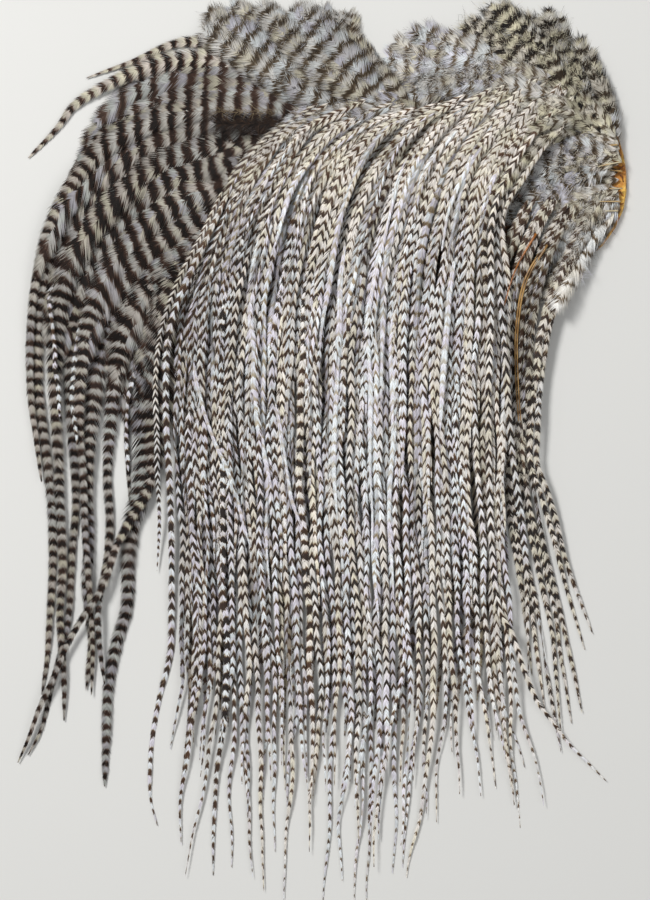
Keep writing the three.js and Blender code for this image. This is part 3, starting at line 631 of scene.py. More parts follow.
# Bends the last stretch aside, as free tips do
def tipBend(line, amount, rng, reach=60):
    fromEnd = reachOf(line[::-1])[::-1]
    free = easeTo(reach - fromEnd, 0, reach)
    curve = free * rng.normal(0, amount)
    curl = 0.6 * amount * np.sin(fromEnd / 11 + rng.uniform(0, 6)) * free
    return moved(line, curve + rng.normal(0, 0.5) * curl)


panel = {"locks": 22, "first": 0.25, "spacing": 0.5, "widest": 9.6, "gap": 2.3, "narrowest": 1.4,
    "overlying": 3, "rootHackles": 10, "rootShare": 0.22}
everyLock = [f"hackle_lock_{k + 1:02d}" for k in range(panel["locks"])]
panelTop = surfaceOf(*everyLock)


def panelHalf(at):
    stem = flowAt(at)
    room = flowAt(at + panel["spacing"]) - flowAt(at - panel["spacing"])
    wide = np.abs((room * leftOf(stem)).sum(1)) - panel["gap"]
    return np.clip(wide, panel["narrowest"], panel["widest"]) / 2


# Places where a feather turns edge-on for a stretch: share along it, length and angle
def someTwists(rng, chance, angle=(45, 75), width=(9, 22)):
    many = rng.poisson(chance)
    return [(rng.uniform(0.15, 0.9), rng.uniform(*width), rng.choice([-1, 1]) * rng.uniform(*angle))
            for _ in range(many)]


def buildPanelLock(k):
    plume, rng = newPlume(11, k)
    name = everyLock[k]
    own = surfaceOf(name)
    at = panel["first"] + panel["spacing"] * k
    stem, half = flowAt(at), panelHalf(at)
    # Painted shade: every other lock, in the lower layer, is 8% darker; the locks also get darker towards
    # the left edge
    shade = np.interp(k, [0, 2, 6, 21], [0.78, 0.86, 1.02, 1.0]) * (0.92 if k % 2 == 0 else 1.0)
    darker = np.interp(k, [0, 3, 7], [0.14, 0.09, 0.0])  # the left edge has more dark in it
    edgeOn = np.interp(k, [0, 5, 8], [1.8, 1.2, 0.5])

    def panelLook(**settings):
        look = dict(hackle, half=rng.uniform(1.1, 1.55), pitch=rng.uniform(4.42, 4.78),
            phase=rng.normal(0, 0.19), pale=rng.uniform(0.58, 0.76) - darker,
            warmth=rng.uniform(0.2, 0.7), brightness=shade * rng.uniform(0.88, 1.06),
            strength=rng.uniform(0.78, 1.0), roll=rng.uniform(8, 24), twists=someTwists(rng, edgeOn))
        if rng.uniform() < 0.05:  # now and then a broader feather with bars that run squarely across
            look.update(half=1.65, sweep=0.4, pitch=5.1, pale=0.54 - darker)
        if k > 19:  # the right-hand edge lies flat
            look.update(roll=6, twists=[])
        return dict(look, **settings)

    mains = [(2 * j + 1) / 3 - 1 for j in range(3)]
    for j, tip in enumerate(panelTips[k]):
        line = evenly(lockRoute(stem, half, mains[j] + rng.normal(0, 0.06), tip))
        line = tipBend(wander(line, 0.9, rng), 2.2, rng)[int(rng.uniform(2, 9)):]
        addFeather(plume, layOn(own, line), panelLook(lift=0.14 * rng.permutation(3)[j]), rng)
    # Hackles between them that end sooner
    for across in (-0.36, 0.36):
        until = int(flowSteps * rng.uniform(0.72, 1.0))
        line = moved(stem, (across + rng.normal(0, 0.1)) * half)[int(rng.uniform(5, 20)):until]
        addFeather(plume, layOn(own, wander(evenly(line), 0.8, rng), 0.3), panelLook(), rng)
    # Others lie over the long ones; some of them show the pale underside
    for j in range(panel["overlying"]):
        across, drift = rng.uniform(-0.9, 0.9), rng.uniform(-0.8, 0.8)
        until = int(flowSteps * rng.uniform(0.45, 0.98))
        start = int(flowSteps * rng.uniform(0.03, 0.14))
        slide = across + drift * np.linspace(-0.5, 0.5, flowSteps)
        line = wander(evenly(moved(stem, slide * half)[start:until]), 1.5, rng, 110)
        if rng.uniform() < 0.3:
            look = panelLook(pale=rng.uniform(0.6, 0.75), warmth=rng.uniform(-0.3, 0.3), brightness=shade,
                strength=rng.uniform(0.2, 0.5), rollBase=rng.choice([-1, 1]) * rng.uniform(5, 32),
                rootWarmth=0.0)
        else:
            look = panelLook()
        addFeather(plume, layOn(panelTop, line, rng.uniform(0.25, 0.6), 5), look, rng)
    # Short hackles cover the roots like scales
    for j in range(panel["rootHackles"]):
        start = panel["rootShare"] * (j + rng.uniform(-0.5, 0.5)) / panel["rootHackles"]
        first = int(flowSteps * max(0.0, start))
        line = evenly(moved(stem, rng.uniform(-1.2, 1.2) * half)[first:first + 110])
        if start < 0.02:
            line = np.vstack([line[0] - (line[1] - line[0]) * np.arange(6, 0, -1)[:, None], line])
        line = line[:int(rng.uniform(16, 38))]
        look = panelLook(half=rng.uniform(1.15, 1.55), pitch=rng.uniform(3.4, 4.1),
            warmth=rng.uniform(0.6, 1.0), phase=rng.uniform(0, 1), strength=rng.uniform(0.5, 0.8),
            crown=0.5, rootFade=0.0, twists=[], tipFade=0.0)
        addFeather(plume, layOn(panelTop, line, 0.9 - 0.07 * j + rng.uniform(0, 0.2), 3), look, rng)
    plume.build(f"long_hackles_{k + 1:02d}", hackleKeratin, "hackle", name)


for k in range(panel["locks"]):
    buildPanelLock(k)

# Slender strands that lie over the others. Each has half its width and its line
def layStrands(name, slotName, surface, strands, seed, look, lift, drape, sway, longest=80.0):
    plume = Plume()
    for k, (half, line) in enumerate(strands):
        rng = np.random.default_rng((seed, k))
        line = wander(evenly(smoothLine(line, 300)), sway, rng, longest)
        addFeather(plume, layOn(surface, line, lift, drape), dict(hackle, half=half, rootWarmth=0.0,
            **look), rng)
    plume.build(name, hackleKeratin, slotName)


paleStrands = [  # they turn their white undersides up
    (1.6875, [(-25, 80), (-27.7, 64.6), (-27.7, 35.7), (-27, 15.2), (-23.6, 0.4), (-20.5, -13.7)]),
    (0.9375, [(-51, 38), (-48.3, 23.6), (-41.8, 2.7), (-35.3, -13.7), (-28.5, -36.9)]),
    (1.0, [(-19, 18), (-16.3, 2.7), (-12.9, -17.9), (-8.7, -30)]),
    (1.25, [(7.5, 78), (6.1, 64.6), (5.3, 39.9), (3.4, 15.2), (3.4, -9.5), (4.6, -25.8)]),
    (1.375, [(49, 72), (46.7, 57), (44.8, 32.3), (43.7, 7.6)]),
]
paleStrand = {"strength": 0.3, "warmth": -0.1, "brightness": 0.95, "rollBase": 14, "pale": 0.7,
    "pitch": 4.8, "sweep": 1.0}
layStrands("pale_strands", "hackle", panelTop, paleStrands, 19, paleStrand, lift=0.7, drape=5, sway=0.5)
print("main panel:", sum(faceCount.values()), "triangles")


# Shorter hackles beneath the panel
underLocks = {
    "places": [1.1, 3.3, 5.5, 7.7, 9.9], "reach": (0.06, 0.9), "half": 1.05, "feathers": 7,
    "tips": [[(-55, -96), (-49, -104), (-43, -100), (-37, -106)],
        [(-33, -108), (-26, -104), (-19, -112), (-12, -106)], [(-9, -110), (-3, -116), (4, -110),
        (11, -116)], [(15, -112), (23, -118), (30, -110), (38, -108)],
        [(42, -104), (50, -108), (58, -102), (66, -98)]],
}
for k, at in enumerate(underLocks["places"]):
    plume, rng = newPlume(23, k)
    name = f"under_lock_{k + 1}"
    own = surfaceOf(name)
    first, until = (int(flowSteps * share) for share in underLocks["reach"])
    stem = flowAt(at)[first:until]
    room = (flowAt(at + underLocks["half"]) - flowAt(at - underLocks["half"]))[first:until]
    half = (np.abs((room * leftOf(stem)).sum(1)) - panel["gap"]) / 2
    tips = np.array(underLocks["tips"][k], float)
    for j in range(underLocks["feathers"]):
        share = j / (underLocks["feathers"] - 1)
        tip = tipAt(tips, share * 3)
        tip[1] += rng.uniform(0, 14)
        line = wander(evenly(lockRoute(stem, half, 0.94 * (2 * share - 1), tip)), 1.0, rng)
        # Painted shade: these feathers lie under the panel, so their brightness is lowered
        look = dict(hackle, half=2.1, spacing=1.5, pitch=rng.uniform(4.6, 5.2),
            pale=rng.uniform(0.5, 0.6), warmth=rng.uniform(0.2, 0.8), brightness=rng.uniform(0.72, 0.9),
            phase=rng.uniform(0, 1), lift=0.1 * (j % 3))
        addFeather(plume, layOn(own, line), look, rng)
    plume.build(f"short_hackles_{k + 1}", underKeratin, "under_hackle", name)
print("under the panel:", sum(faceCount.values()), "triangles")


# The side feathers, fanned to the left, from the top one inwards: the width of each and its line
sideFeathers = [
    (5, [(2, 141), (-21, 150), (-43, 155), (-57, 155), (-71, 149), (-85, 144), (-90.5, 142)]),
    (7.6, [(0, 138), (-25, 145), (-48, 149), (-67, 146), (-85, 138), (-96, 131), (-101, 124),
        (-106.5, 118), (-113, 111.5)]),
    (6.2, [(-1, 134), (-27, 137), (-53, 135), (-74, 128), (-88, 117), (-97, 103), (-103, 89),
        (-106, 76)]),
    (5.6, [(-2, 129), (-27, 131), (-53, 128), (-76, 120), (-90, 109), (-100, 95), (-107, 78), (-111, 59),
        (-112.5, 40), (-112, 19), (-110, 4), (-108, -12)]),
    (6.4, [(-3, 123), (-26, 125), (-51, 122), (-74, 112), (-90, 98), (-101, 82), (-107.5, 63), (-110, 42),
        (-109, 19), (-106, -4), (-104, -27), (-104, -48), (-105, -65), (-106, -80), (-108, -93)]),
    (6.6, [(-4, 117), (-26, 118), (-49, 114), (-71, 103), (-87, 87), (-98, 68), (-102, 49), (-103, 27),
        (-102, 4), (-101, -19), (-100, -42), (-101, -65), (-99.5, -86), (-99.5, -103)]),
    (5.2, [(-5, 111), (-27, 111), (-49, 106), (-70, 95), (-85, 78), (-94, 57), (-97, 36), (-97, 19),
        (-96, 0), (-95, -19), (-96.5, -40), (-98, -65), (-101, -78), (-104.5, -91), (-108, -106),
        (-113, -116)]),
    (5, [(-6, 104), (-27, 104), (-49, 99), (-68, 87), (-82, 68), (-90, 48), (-93, 27), (-93.5, 8),
        (-92, -9), (-91.5, -27), (-89.5, -57), (-88.5, -76), (-89, -93)]),
    (8, [(-6, 97), (-27, 97), (-47, 90), (-66, 76), (-79, 57), (-85.5, 38), (-88.5, 19), (-90, 0),
        (-90.5, -19), (-90, -35), (-91, -53), (-89, -72), (-91, -91)]),
    (5.8, [(-8, 89), (-27, 89), (-46, 82), (-63, 66), (-75, 47), (-80, 27), (-82, 8), (-83, -11),
        (-82, -27), (-83, -42), (-86, -57), (-86, -72), (-84, -89)]),
    (4, [(-9, 80), (-28, 80), (-46, 74), (-59, 61), (-69, 44), (-74, 27), (-75.5, 11), (-75, -9),
        (-74, -23)]),
    (4.8, [(-11, 70), (-32, 74), (-49, 70), (-59, 57), (-63, 38), (-64, 19), (-65, 4), (-67, -14),
        (-72.5, -24), (-79, -36), (-85, -53), (-93, -65), (-99, -76), (-103, -86), (-109, -99),
        (-113, -110), (-117, -119)]),
    (8.8, [(-10, 63), (-29, 68), (-46, 67), (-58, 57), (-65.5, 40), (-67.5, 19), (-68.5, -2),
        (-70.5, -18), (-74, -29), (-75, -45), (-75.5, -60), (-79, -72), (-82, -86), (-83, -96),
        (-83.5, -111), (-84, -128)]),
]
everySide = [f"side_feather_{k + 1:02d}" for k in range(len(sideFeathers))]
fanTop = surfaceOf(*everySide)
# The bars run in arcs about the centre, spaced wider there than on the long tips
fan = {"centre": (28, 129), "web": 6.6, "pitch": 4.75, "wide": 1.33, "shade": (0.82, 1.06)}
for k, (width, line) in enumerate(sideFeathers):
    plume, rng = newPlume(37, k)
    own = surfaceOf(everySide[k])
    line, half = evenly(smoothLine(line, 400)), width / 2
    web = fan["web"] * (0.7 if k < 4 else 1)
    upper = k < 2  # the two that stand away are clearer, creamier and slimmer at the tip
    slim = 0.62 if upper else 1.0
    look = dict(sideWeb, half=1.0, pitch=5.2 if upper else fan["pitch"] * rng.uniform(0.99, 1.01),
        pale=np.interp(k, [0, 4, 7], [0.5, 0.46, 0.4]) + rng.uniform(-0.04, 0.04),
        brightness=1.3 if upper else rng.uniform(*fan["shade"]) * (1 if k < 4 else 0.93),
        phase=rng.normal(0, 0.09), arch=0.09, warmth=0.9 if upper else rng.uniform(0.15, 0.65),
        arcs=fan["centre"], arcsUntil=0.4, wide=1.05 if upper else fan["wide"],
        shape=[(0, 0.6 * web), (0.08, web), (0.33, 0.96 * web), (0.47, half * 1.2), (0.62, half * 0.72),
        (0.88, half * 0.52 * slim), (0.97, half * 0.3 * slim), (1, 0.25)])
    addFeather(plume, layOn(own, line), look, rng)
    # Shorter, webbier feathers beside it close the fan's upper half
    for reach in ((0.42, 0.52), (0.26, 0.36)):
        short = wander(line[:int(len(line) * rng.uniform(*reach))], 1.2, rng)
        short = moved(short, rng.choice([-1, 1]) * half * 0.9)
        look = dict(look, pitch=fan["pitch"], phase=rng.normal(0, 0.13), arcsUntil=1.0, wide=fan["wide"],
            warmth=rng.uniform(0.2, 0.75), brightness=rng.uniform(*fan["shade"]),
            shape=[(0, 0.6 * web), (0.15, web), (0.6, 0.95 * web), (0.86, 0.6 * web), (0.97, 0.3 * web),
            (1, 0.3)])
        addFeather(plume, layOn(fanTop, short, 0.3, 4), look, rng)
    plume.build(f"webby_side_feather_{k + 1:02d}", webKeratin, "side_feather", everySide[k])

# Narrow feathers among them that stand on edge and show their white undersides
twistedStrands = [
    (1.6, [(-103, 66), (-105, 55), (-103.5, 42), (-102, 27), (-101, 13)]),
    (1.6, [(-69, 47), (-72.6, 34), (-75, 19), (-75.8, 4), (-75, -8)]),
    (1.6, [(-93, 50), (-95.5, 34), (-96, 17), (-94, 2)]),
]
twistedStrand = {"pitch": 4.2, "pale": 0.5, "strength": 1.5, "warmth": 0.1, "brightness": 0.8,
    "rollBase": 34, "roll": 26, "sweep": 0.5}
layStrands("twisted_side_hackles", "side_feather", fanTop, twistedStrands, 43, twistedStrand,
    lift=0.9, drape=4, sway=0.6, longest=40)

# Tufts of short webby feathers in overlapping rows, the row nearest the root on top
broadWeb = {"arch": -0.045, "pitch": 6.2, "half": 5.6, "pale": 0.48, "disorder": 0.07, "brightness": 0.79,
    "warmth": 0.35, "split": 0.9, "jitter": 0.1, "barbEnd": 0.3}
tufts = {
    "left_tuft_1": {"width": (5, 17), "line": [(16, 127), (0, 137), (-19, 149)],
        "tips": [(-34, 170), (-44, 168), (-46, 159)], "look": broadWeb},
    "left_tuft_3": {"width": (5, 13), "line": [(31, 131), (18, 141), (7, 153)],
        "tips": [(10, 164), (4, 169.5), (-3, 168)], "look": dict(broadWeb, half=4.2, warmth=0.5,
        pitch=5.6)},
    "left_tuft_2": {"width": (5, 16), "line": [(24, 130), (9, 142), (-6, 156)],
        "tips": [(-8, 167), (-16, 166), (-24, 169)], "look": broadWeb},
    "right_tuft_1": {"width": (5, 19), "line": [(80, 137), (63, 144), (44, 148)],
        "tips": [(38, 161), (29, 158), (23, 152), (26, 145)], "look": dict(broadWeb, arcs=(76, 141.5),
        pitch=5.9, pale=0.58, brightness=1.02)},
    "right_tuft_3": {"width": (6, 17), "line": [(108, 110), (104, 125), (97, 141)],
        "tips": [(101, 152), (92, 163), (85, 168)], "many": 1, "horn": firmKeratin,
        "look": {"half": 3.4, "disorder": 0.12, "warmth": 0.7, "pale": 0.37, "arcs": (110, 84),
        "pitch": 6.0, "clumpPhase": 0.12, "brightness": 0.8, "strength": 1.3, "split": 0.9}},
    "right_tuft_2": {"width": (5, 16), "line": [(94, 130), (84, 142), (76, 153)],
        "tips": [(68, 170), (59, 168), (52, 161)], "many": 2, "horn": firmKeratin,
        "look": {"half": 2.9, "disorder": 0.2, "warmth": 0.8, "pale": 0.34, "sweep": 0.4, "pitch": 5.3,
        "brightness": 0.8, "strength": 1.3, "split": 0.9}},
    "downy_patch_1": {"width": (6, 20), "line": [(109, 111), (99, 110), (90, 107)],
        "tips": [(74, 113), (71, 104), (69, 94), (72, 86)], "look": {"brightness": 0.98, "strength": 1.15,
        "warmth": 0.5, "pitch": 6.0, "arcs": (118, 112), "half": 4.6, "pale": 0.56, "disorder": 0.08}},
    "downy_patch_2": {"width": (6, 17), "line": [(110, 100), (103, 93), (95, 87)],
        "tips": [(77, 80), (84, 71), (94, 67)], "look": {"brightness": 1.2, "strength": 0.5}},
}
tuftRows = [{"reach": (0.42, 1.0), "many": 5}, {"reach": (0.25, 0.84), "many": 5},
    {"reach": (0.1, 0.66), "many": 4}, {"reach": (0.0, 0.46), "many": 4}]
down = {"many": 650, "length": 5.5, "curl": 0.9, "spread": 0.8, "rise": 0.9, "width": 0.15, "pitch": 4.95,
    "pale": 0.5, "strength": 0.8, "warmth": 0.5, "brightness": 1.0}


# Rows of short feathers over one another. routeOf(share) is the way of a feather at share 0..1 across
def shingle(plume, surface, routeOf, rows, look, centre, rng, lift=0.25):
    ends = []
    for rank, row in enumerate(rows):
        for j in range(row["many"]):
            share = np.clip((j + 0.5 + rng.uniform(-0.3, 0.3)) / row["many"], 0, 1)
            line = evenly(routeOf(share))
            first, last = (int(len(line) * place) for place in row["reach"])
            first = max(0, first - int(rng.uniform(0, 4)))
            line = line[first:min(len(line), last + int(rng.uniform(-4, 3)))]
            if len(line) < 6:
                continue
            inner = 0.0 if look["arcs"] else np.linalg.norm(line[0] - centre)
            phase = inner / look["pitch"] + rng.normal(0, look["disorder"])
            own = dict(look, half=look["half"] * rng.uniform(0.8, 1.15),
                pale=look["pale"] + rng.uniform(-0.05, 0.06), phase=phase,
                brightness=look["brightness"] * rng.uniform(0.86, 1.04),
                strength=look["strength"] * rng.uniform(0.85, 1),
                warmth=look["warmth"] + rng.uniform(-0.3, 0.3))
            route = layOn(surface, line, lift * rank, 3)
            addFeather(plume, route, own, rng)
            ends.append(route[int(len(route) * 0.55):])
    return np.concatenate(ends)


# Loose barbs that stand off the feathers' ends
def fluff(plume, ends, aim, centre, look, rng):
    chosen = ends[rng.integers(0, len(ends), down["many"])]
    phase = np.linalg.norm(chosen[:, :2] - centre, axis=1) / look["pitch"]
    own = dict(down, **{key: look[key] for key in ("brightness", "warmth", "strength")})
    addDown(plume, chosen, aim, own, rng, phase)


for k, (name, tuft) in enumerate(tufts.items()):
    plume, rng = newPlume(53, k)
    stem, half = lockStem(tuft["line"], tuft["width"], 0.8, 200)
    tips = np.array(tuft["tips"], float)

    def tuftRoute(share):
        return lockRoute(stem, half, 2 * share - 1, tipAt(tips, share * len(tips) - 0.5))

    look = dict(tuftWeb, **tuft.get("look", {}))
    centre = np.array(look["arcs"] or tuft["line"][0], float)
    rows = [dict(row, many=row["many"] + tuft.get("many", 0)) for row in tuftRows]
    ends = shingle(plume, surfaceOf(name), tuftRoute, rows, look, centre, rng)
    fluff(plume, ends, tips.mean(0) - stem[0], centre, look, rng)
    plume.build(f"{name}_feathers", tuft.get("horn", softKeratin), "soft_feather", name)

# A line between guide lines that are listed from one side to the other
def between(guides, share):
    place = share * (len(guides) - 1)
    low = min(int(place), len(guides) - 2)
    return guides[low] * (1 - place + low) + guides[low + 1] * (place - low)


# Broad feathers that close the fan where the others part, in rows between guide lines
fanFillers = [
    {"many": 5, "guides": [
        [(-3, 140), (-28, 145), (-51, 146), (-67, 142), (-79, 134), (-88, 126)],
        [(-3, 131), (-26, 134), (-50, 133), (-70, 127), (-84, 117), (-94, 106)]]},
    {"many": 4, "guides": [
        [(-28, 92), (-50, 84), (-64, 70), (-73, 54), (-79, 36), (-83, 18)],
        [(-28, 78), (-46, 73), (-58, 62), (-65, 46), (-69, 28), (-71, 8)]]},
]
plume = Plume()
for k, filler in enumerate(fanFillers):
    rng = np.random.default_rng((41, k))
    guides = [smoothLine(guide, 200) for guide in filler["guides"]]
    rows = [{"reach": reach, "many": filler["many"]} for reach in ((0.4, 1.0), (0.2, 0.75), (0.0, 0.5))]
    look = dict(sideWeb, half=5.0, shape=tuftWeb["shape"], disorder=0.06, arcs=fan["centre"],
        pitch=fan["pitch"], wide=fan["wide"], pale=0.46)
    centre = np.array(fan["centre"])
    shingle(plume, fanTop, lambda share: between(guides, share), rows, look, centre, rng, 0.1)
plume.build("fan_filler_feathers", webKeratin, "side_feather")
print("side feathers:", sum(faceCount.values()), "triangles")

# Small feathers that cover the skin between the tufts, the panel's roots and the bare rim. Each cover
# lies between guide lines, listed from the right-hand side of the way they point to the left-hand side.
covers = {
    "shoulder_feathers": {"many": 6, "horn": firmKeratin, "look": {"half": 2.5, "warmth": 0.8,
        "strength": 0.85, "pale": 0.54, "angle": 30, "sweep": 0.6, "pitch": 5.5, "disorder": 0.12,
        "split": 0.8}, "guides": [[(110, 121), (103, 131), (92, 138), (78, 141), (62, 137), (50, 128)],
        [(112, 115), (104, 123), (93, 129), (80, 130), (67, 124), (57, 112)],
        [(113, 109), (104, 114), (95, 118), (85, 115), (76, 106), (69, 94)]]},
    "tuft_cover_feathers": {"many": 4, "horn": firmKeratin, "look": {"half": 2.9, "warmth": 0.8,
        "strength": 1.3, "pale": 0.35, "brightness": 0.8, "disorder": 0.14, "pitch": 5.6},
        "guides": [[(98, 122), (92, 138), (84, 154), (74, 166)],
        [(106, 120), (100, 138), (92, 154), (83, 166)]]},
    "crown_feathers": {"many": 5, "look": {"half": 4.0, "warmth": 0.5, "strength": 0.85, "pale": 0.56,
        "disorder": 0.08, "arcs": (110, 136), "pitch": 5.5, "split": 0.9},
        "guides": [[(86, 143), (66, 147), (48, 145), (32, 139), (20, 131)],
        [(84, 134), (66, 138), (50, 137), (36, 131), (26, 121)]]},
    "nape_feathers": {"many": 4, "look": {"half": 3.0, "warmth": 0.4, "strength": 0.8, "pale": 0.56,
        "pitch": 5.3, "arcs": (70, 140), "disorder": 0.1}, "guides": [[(22, 137), (4, 134), (-10, 129),
        (-22, 119)], [(32, 131), (14, 127), (0, 119), (-11, 108)]]},
    "patch_cover_feathers": {"many": 7, "look": {"half": 2.6, "warmth": 0.8, "strength": 0.95,
        "brightness": 1.02}, "guides": [[(110, 119), (103, 119), (94, 117), (84, 113)],
        [(112, 106), (104, 105), (94, 102), (84, 97)], [(112, 95), (104, 92), (96, 87), (87, 80)]]},
    "rim_cover_feathers": {"many": 5, "look": {"half": 2.6, "warmth": 0.6, "strength": 0.85,
        "brightness": 0.95, "pale": 0.5}, "guides": [[(104, 100), (98, 89), (92, 79), (86, 68), (81, 58)],
        [(113, 93), (107.5, 83), (100.5, 73), (94.5, 63), (89.5, 55)]]},
}
coverRows = [(0.5, 1.0), (0.34, 0.84), (0.18, 0.66), (0.06, 0.5), (0.0, 0.34)]
pileTop = surfaceOf(*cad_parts)
for k, (name, cover) in enumerate(covers.items()):
    plume, rng = newPlume(61, k)
    guides = [smoothLine(guide, 200) for guide in cover["guides"]]
    look = dict(tuftWeb, **cover["look"])
    rows = [{"reach": reach, "many": cover["many"]} for reach in coverRows]
    centre = np.array(look["arcs"] or guides[0][0])
    ends = shingle(plume, pileTop, lambda share: between(guides, share), rows, look, centre, rng, 0.3)
    fluff(plume, ends, guides[0][-1] - guides[0][0], centre, look, rng)
    plume.build(name, cover.get("horn", softKeratin), "soft_feather")
print("tufts:", sum(faceCount.values()), "triangles")


# Hackles rooted at the lower right edge of the skin
rightLocks = [
    {"width": (2.6, 3), "line": [(80, 96), (72.5, 82), (67, 68), (65, 50), (64.5, 38), (65, 19), (66, -1),
        (66.5, -26), (66, -38)], "tips": [(66, -92)]},
    {"width": (4, 5.6), "line": [(87, 96), (79, 82), (74, 66), (71.5, 49), (70.5, 30), (70.5, 8),
        (71, -11), (73.5, -34), (77, -53)], "tips": [(79, -86), (84, -100), (90, -115)]},
    {"width": (4, 6.2), "line": [(94, 93), (86, 79), (80, 63), (77, 46), (76, 27), (75.5, 8), (76.5, -11),
        (80, -30), (85.5, -53)], "tips": [(90, -108), (94, -104), (98, -100)]},
    {"width": (3.4, 4.8), "line": [(101, 90), (94, 76), (88, 62), (84, 49), (81.3, 31), (79.7, 7),
        (79.5, -5), (83.5, -17), (88, -34)], "tips": [(99, -76), (102, -70)]},
]
overRight = 5  # shorter hackles over each of these locks
for k, lock in enumerate(rightLocks):
    plume, rng = newPlume(71, k)
    name = f"right_lock_{k + 1}"
    own = surfaceOf(name)
    stem, half = lockStem(lock["line"], lock["width"], 0.4, 300)
    for j, tip in enumerate(lock["tips"]):
        across = (2 * j + 1) / len(lock["tips"]) - 1
        line = wander(evenly(lockRoute(stem, half, across, tip)), 0.4, rng)
        look = dict(hackle, half=rng.uniform(1.3, 1.7), pitch=4.7, pale=rng.uniform(0.46, 0.56),
            warmth=rng.uniform(0.5, 1.0), brightness=rng.uniform(0.72, 0.92), phase=rng.normal(0, 0.1),
            lift=0.15 * j, roll=14, twists=someTwists(rng, 0.6), sweep=0.9, phaseJitter=0.1,
            clumpPhase=0.14, arcs=(118, 122), arcsUntil=0.35)
        addFeather(plume, layOn(own, line), look, rng)
    for j in range(overRight):
        short = wander(stem[int(rng.uniform(0, 12)):int(len(stem) * rng.uniform(0.25, 0.8))], 0.8, rng)
        short = moved(short, rng.uniform(-2.4, 2.4))
        look = dict(look, half=rng.uniform(1.3, 2.0), phase=rng.normal(0, 0.12), lift=0.3,
                    pale=rng.uniform(0.44, 0.56), arcsUntil=1.0)
        addFeather(plume, layOn(own, short, 0.2), look, rng)
    plume.build(f"right_hackles_{k + 1}", hackleKeratin, "hackle", name)

# A soft feather along the skin's lower right edge, with broad white marks between ochre bars
edgeDown = {"line": [(110, 90), (105, 85), (100.5, 80), (97, 74), (94, 68), (90.5, 61), (87.5, 54)],
    "half": 4.5}
plume, rng = newPlume(79)
look = dict(tuftWeb, half=edgeDown["half"], pitch=6.8, pale=0.67, strength=0.95, brightness=1.36,
    warmth=0.6, sweep=0.0, split=1.1, jitter=0.14, crown=1.0, clumpPhase=0.07, phaseJitter=0.08,
    edgeShade=0.24, fadeWave=0.1)
edgeRoute = layOn(pileTop, evenly(smoothLine(edgeDown["line"], 200)), 1.9, 4)
addFeather(plume, edgeRoute, look, rng)
tipDown = {"at": [(98, 71), (97, 69), (96, 68)], "each": 14, "height": 4.0, "way": (0.15, -1.0)}
wisps = np.repeat(tipDown["at"], tipDown["each"], 0)
wisps = wisps + rng.normal(0, 0.7, wisps.shape)
wisps = np.concatenate([wisps, np.full((len(wisps), 1), tipDown["height"])], 1)
look = dict(down, brightness=1.4, warmth=0.2, strength=0.0, length=7, spread=0.25)
addDown(plume, wisps, tipDown["way"], look, rng)
plume.build("pale_edge_feather", softKeratin, "soft_feather")

# Hackles at the panel's edges; two of them follow the panel's flow first
edgeHackles = {
    "edge_hackle_1": {"look": {"half": 1.3, "roll": 24, "pitch": 3.1, "brightness": 0.8, "pale": 0.5},
        "line": [(-39, 98), (-47, 81), (-54, 67), (-60, 52), (-63.5, 38), (-64.5, 23), (-64, 8),
        (-63.5, -11), (-63, -27), (-64, -46)]},
    "edge_hackle_2": {"look": {"half": 1.5, "roll": 16, "pitch": 5.0, "brightness": 0.84, "pale": 0.52,
        "sweep": 1.2, "tipSweep": 0.3, "strength": 0.85, "warmth": 0.2},
        "line": [(-37, 97), (-44, 82), (-50, 69), (-56, 55), (-59.5, 42), (-60.5, 19), (-59, -14),
        (-58.5, -35), (-58.5, -65), (-59, -78), (-63.5, -96), (-66.5, -116), (-66.5, -133), (-64, -143)]},
    "crossing_hackle": {"look": {"half": 1.4, "roll": 6, "brightness": 0.86}, "flow": (10.75, 0.62),
        "line": [(71, -1), (73, -14), (75, -27), (76.5, -42), (77, -57), (77.5, -85)]},
    "stray_hackle": {"look": {"half": 1.5, "roll": 14}, "flow": (10.45, 0.84),
        "line": [(66, -60), (71, -70), (75, -82), (81, -96), (87, -104), (93, -112), (100, -119),
        (107, -126)]},
}
for k, (name, edge) in enumerate(edgeHackles.items()):
    plume, rng = newPlume(83, k)
    points = list(edge["line"])
    if "flow" in edge:
        at, until = edge["flow"]
        lead = flowAt(at)
        points = [tuple(lead[round(until * i / 8 * (flowSteps - 1))]) for i in range(8)] + points
    look = dict(hackle, pitch=4.8, pale=0.56, warmth=rng.uniform(0.3, 0.8))
    look.update(edge["look"])
    addFeather(plume, layOn(surfaceOf(name), evenly(smoothLine(points, 400))), look, rng)
    plume.build(f"{name}_feather", hackleKeratin, "hackle", name)
print("right group and edges:", sum(faceCount.values()), "triangles")


# The plain brown feather at the upper left
brown = {"half": 5.2, "down": 160, "paleDown": 60, "line": [(-6, 123), (-24, 124), (-41, 124)]}
plume, rng = newPlume(97)
look = dict(tuftWeb, half=brown["half"], spacing=0.24, jitter=0.2, angle=32, crown=0.6, split=1.8,
            shape=[(0, 0.4), (0.25, 0.85), (0.7, 1.0), (0.9, 0.8), (1, 0.4)])
brownRoute = layOn(surfaceOf("plain_brown_feather"), evenly(smoothLine(brown["line"], 100)))
addFeather(plume, brownRoute, look, rng)
chosen = brownRoute[rng.integers(8, len(brownRoute), brown["down"])] + [0, 0, 0.2]
plainDown = dict(down, length=7, curl=0.7, spread=0.7, rise=0.5, width=0.2, pitch=5, strength=0)
addDown(plume, chosen, (-1.0, 0.0), plainDown, rng)
fluffy = brownRoute[rng.integers(12, len(brownRoute), brown["paleDown"])]
fluffy = fluffy + [0, 1, 0] * rng.uniform(3.8, 5.4, (len(fluffy), 1)) + [0, 0, 0.3]
plainDown.update(length=4, curl=0.9, rise=0.6, width=0.18, brightness=1.6)
addDown(plume, fluffy, (-1.0, 0.2), plainDown, rng)
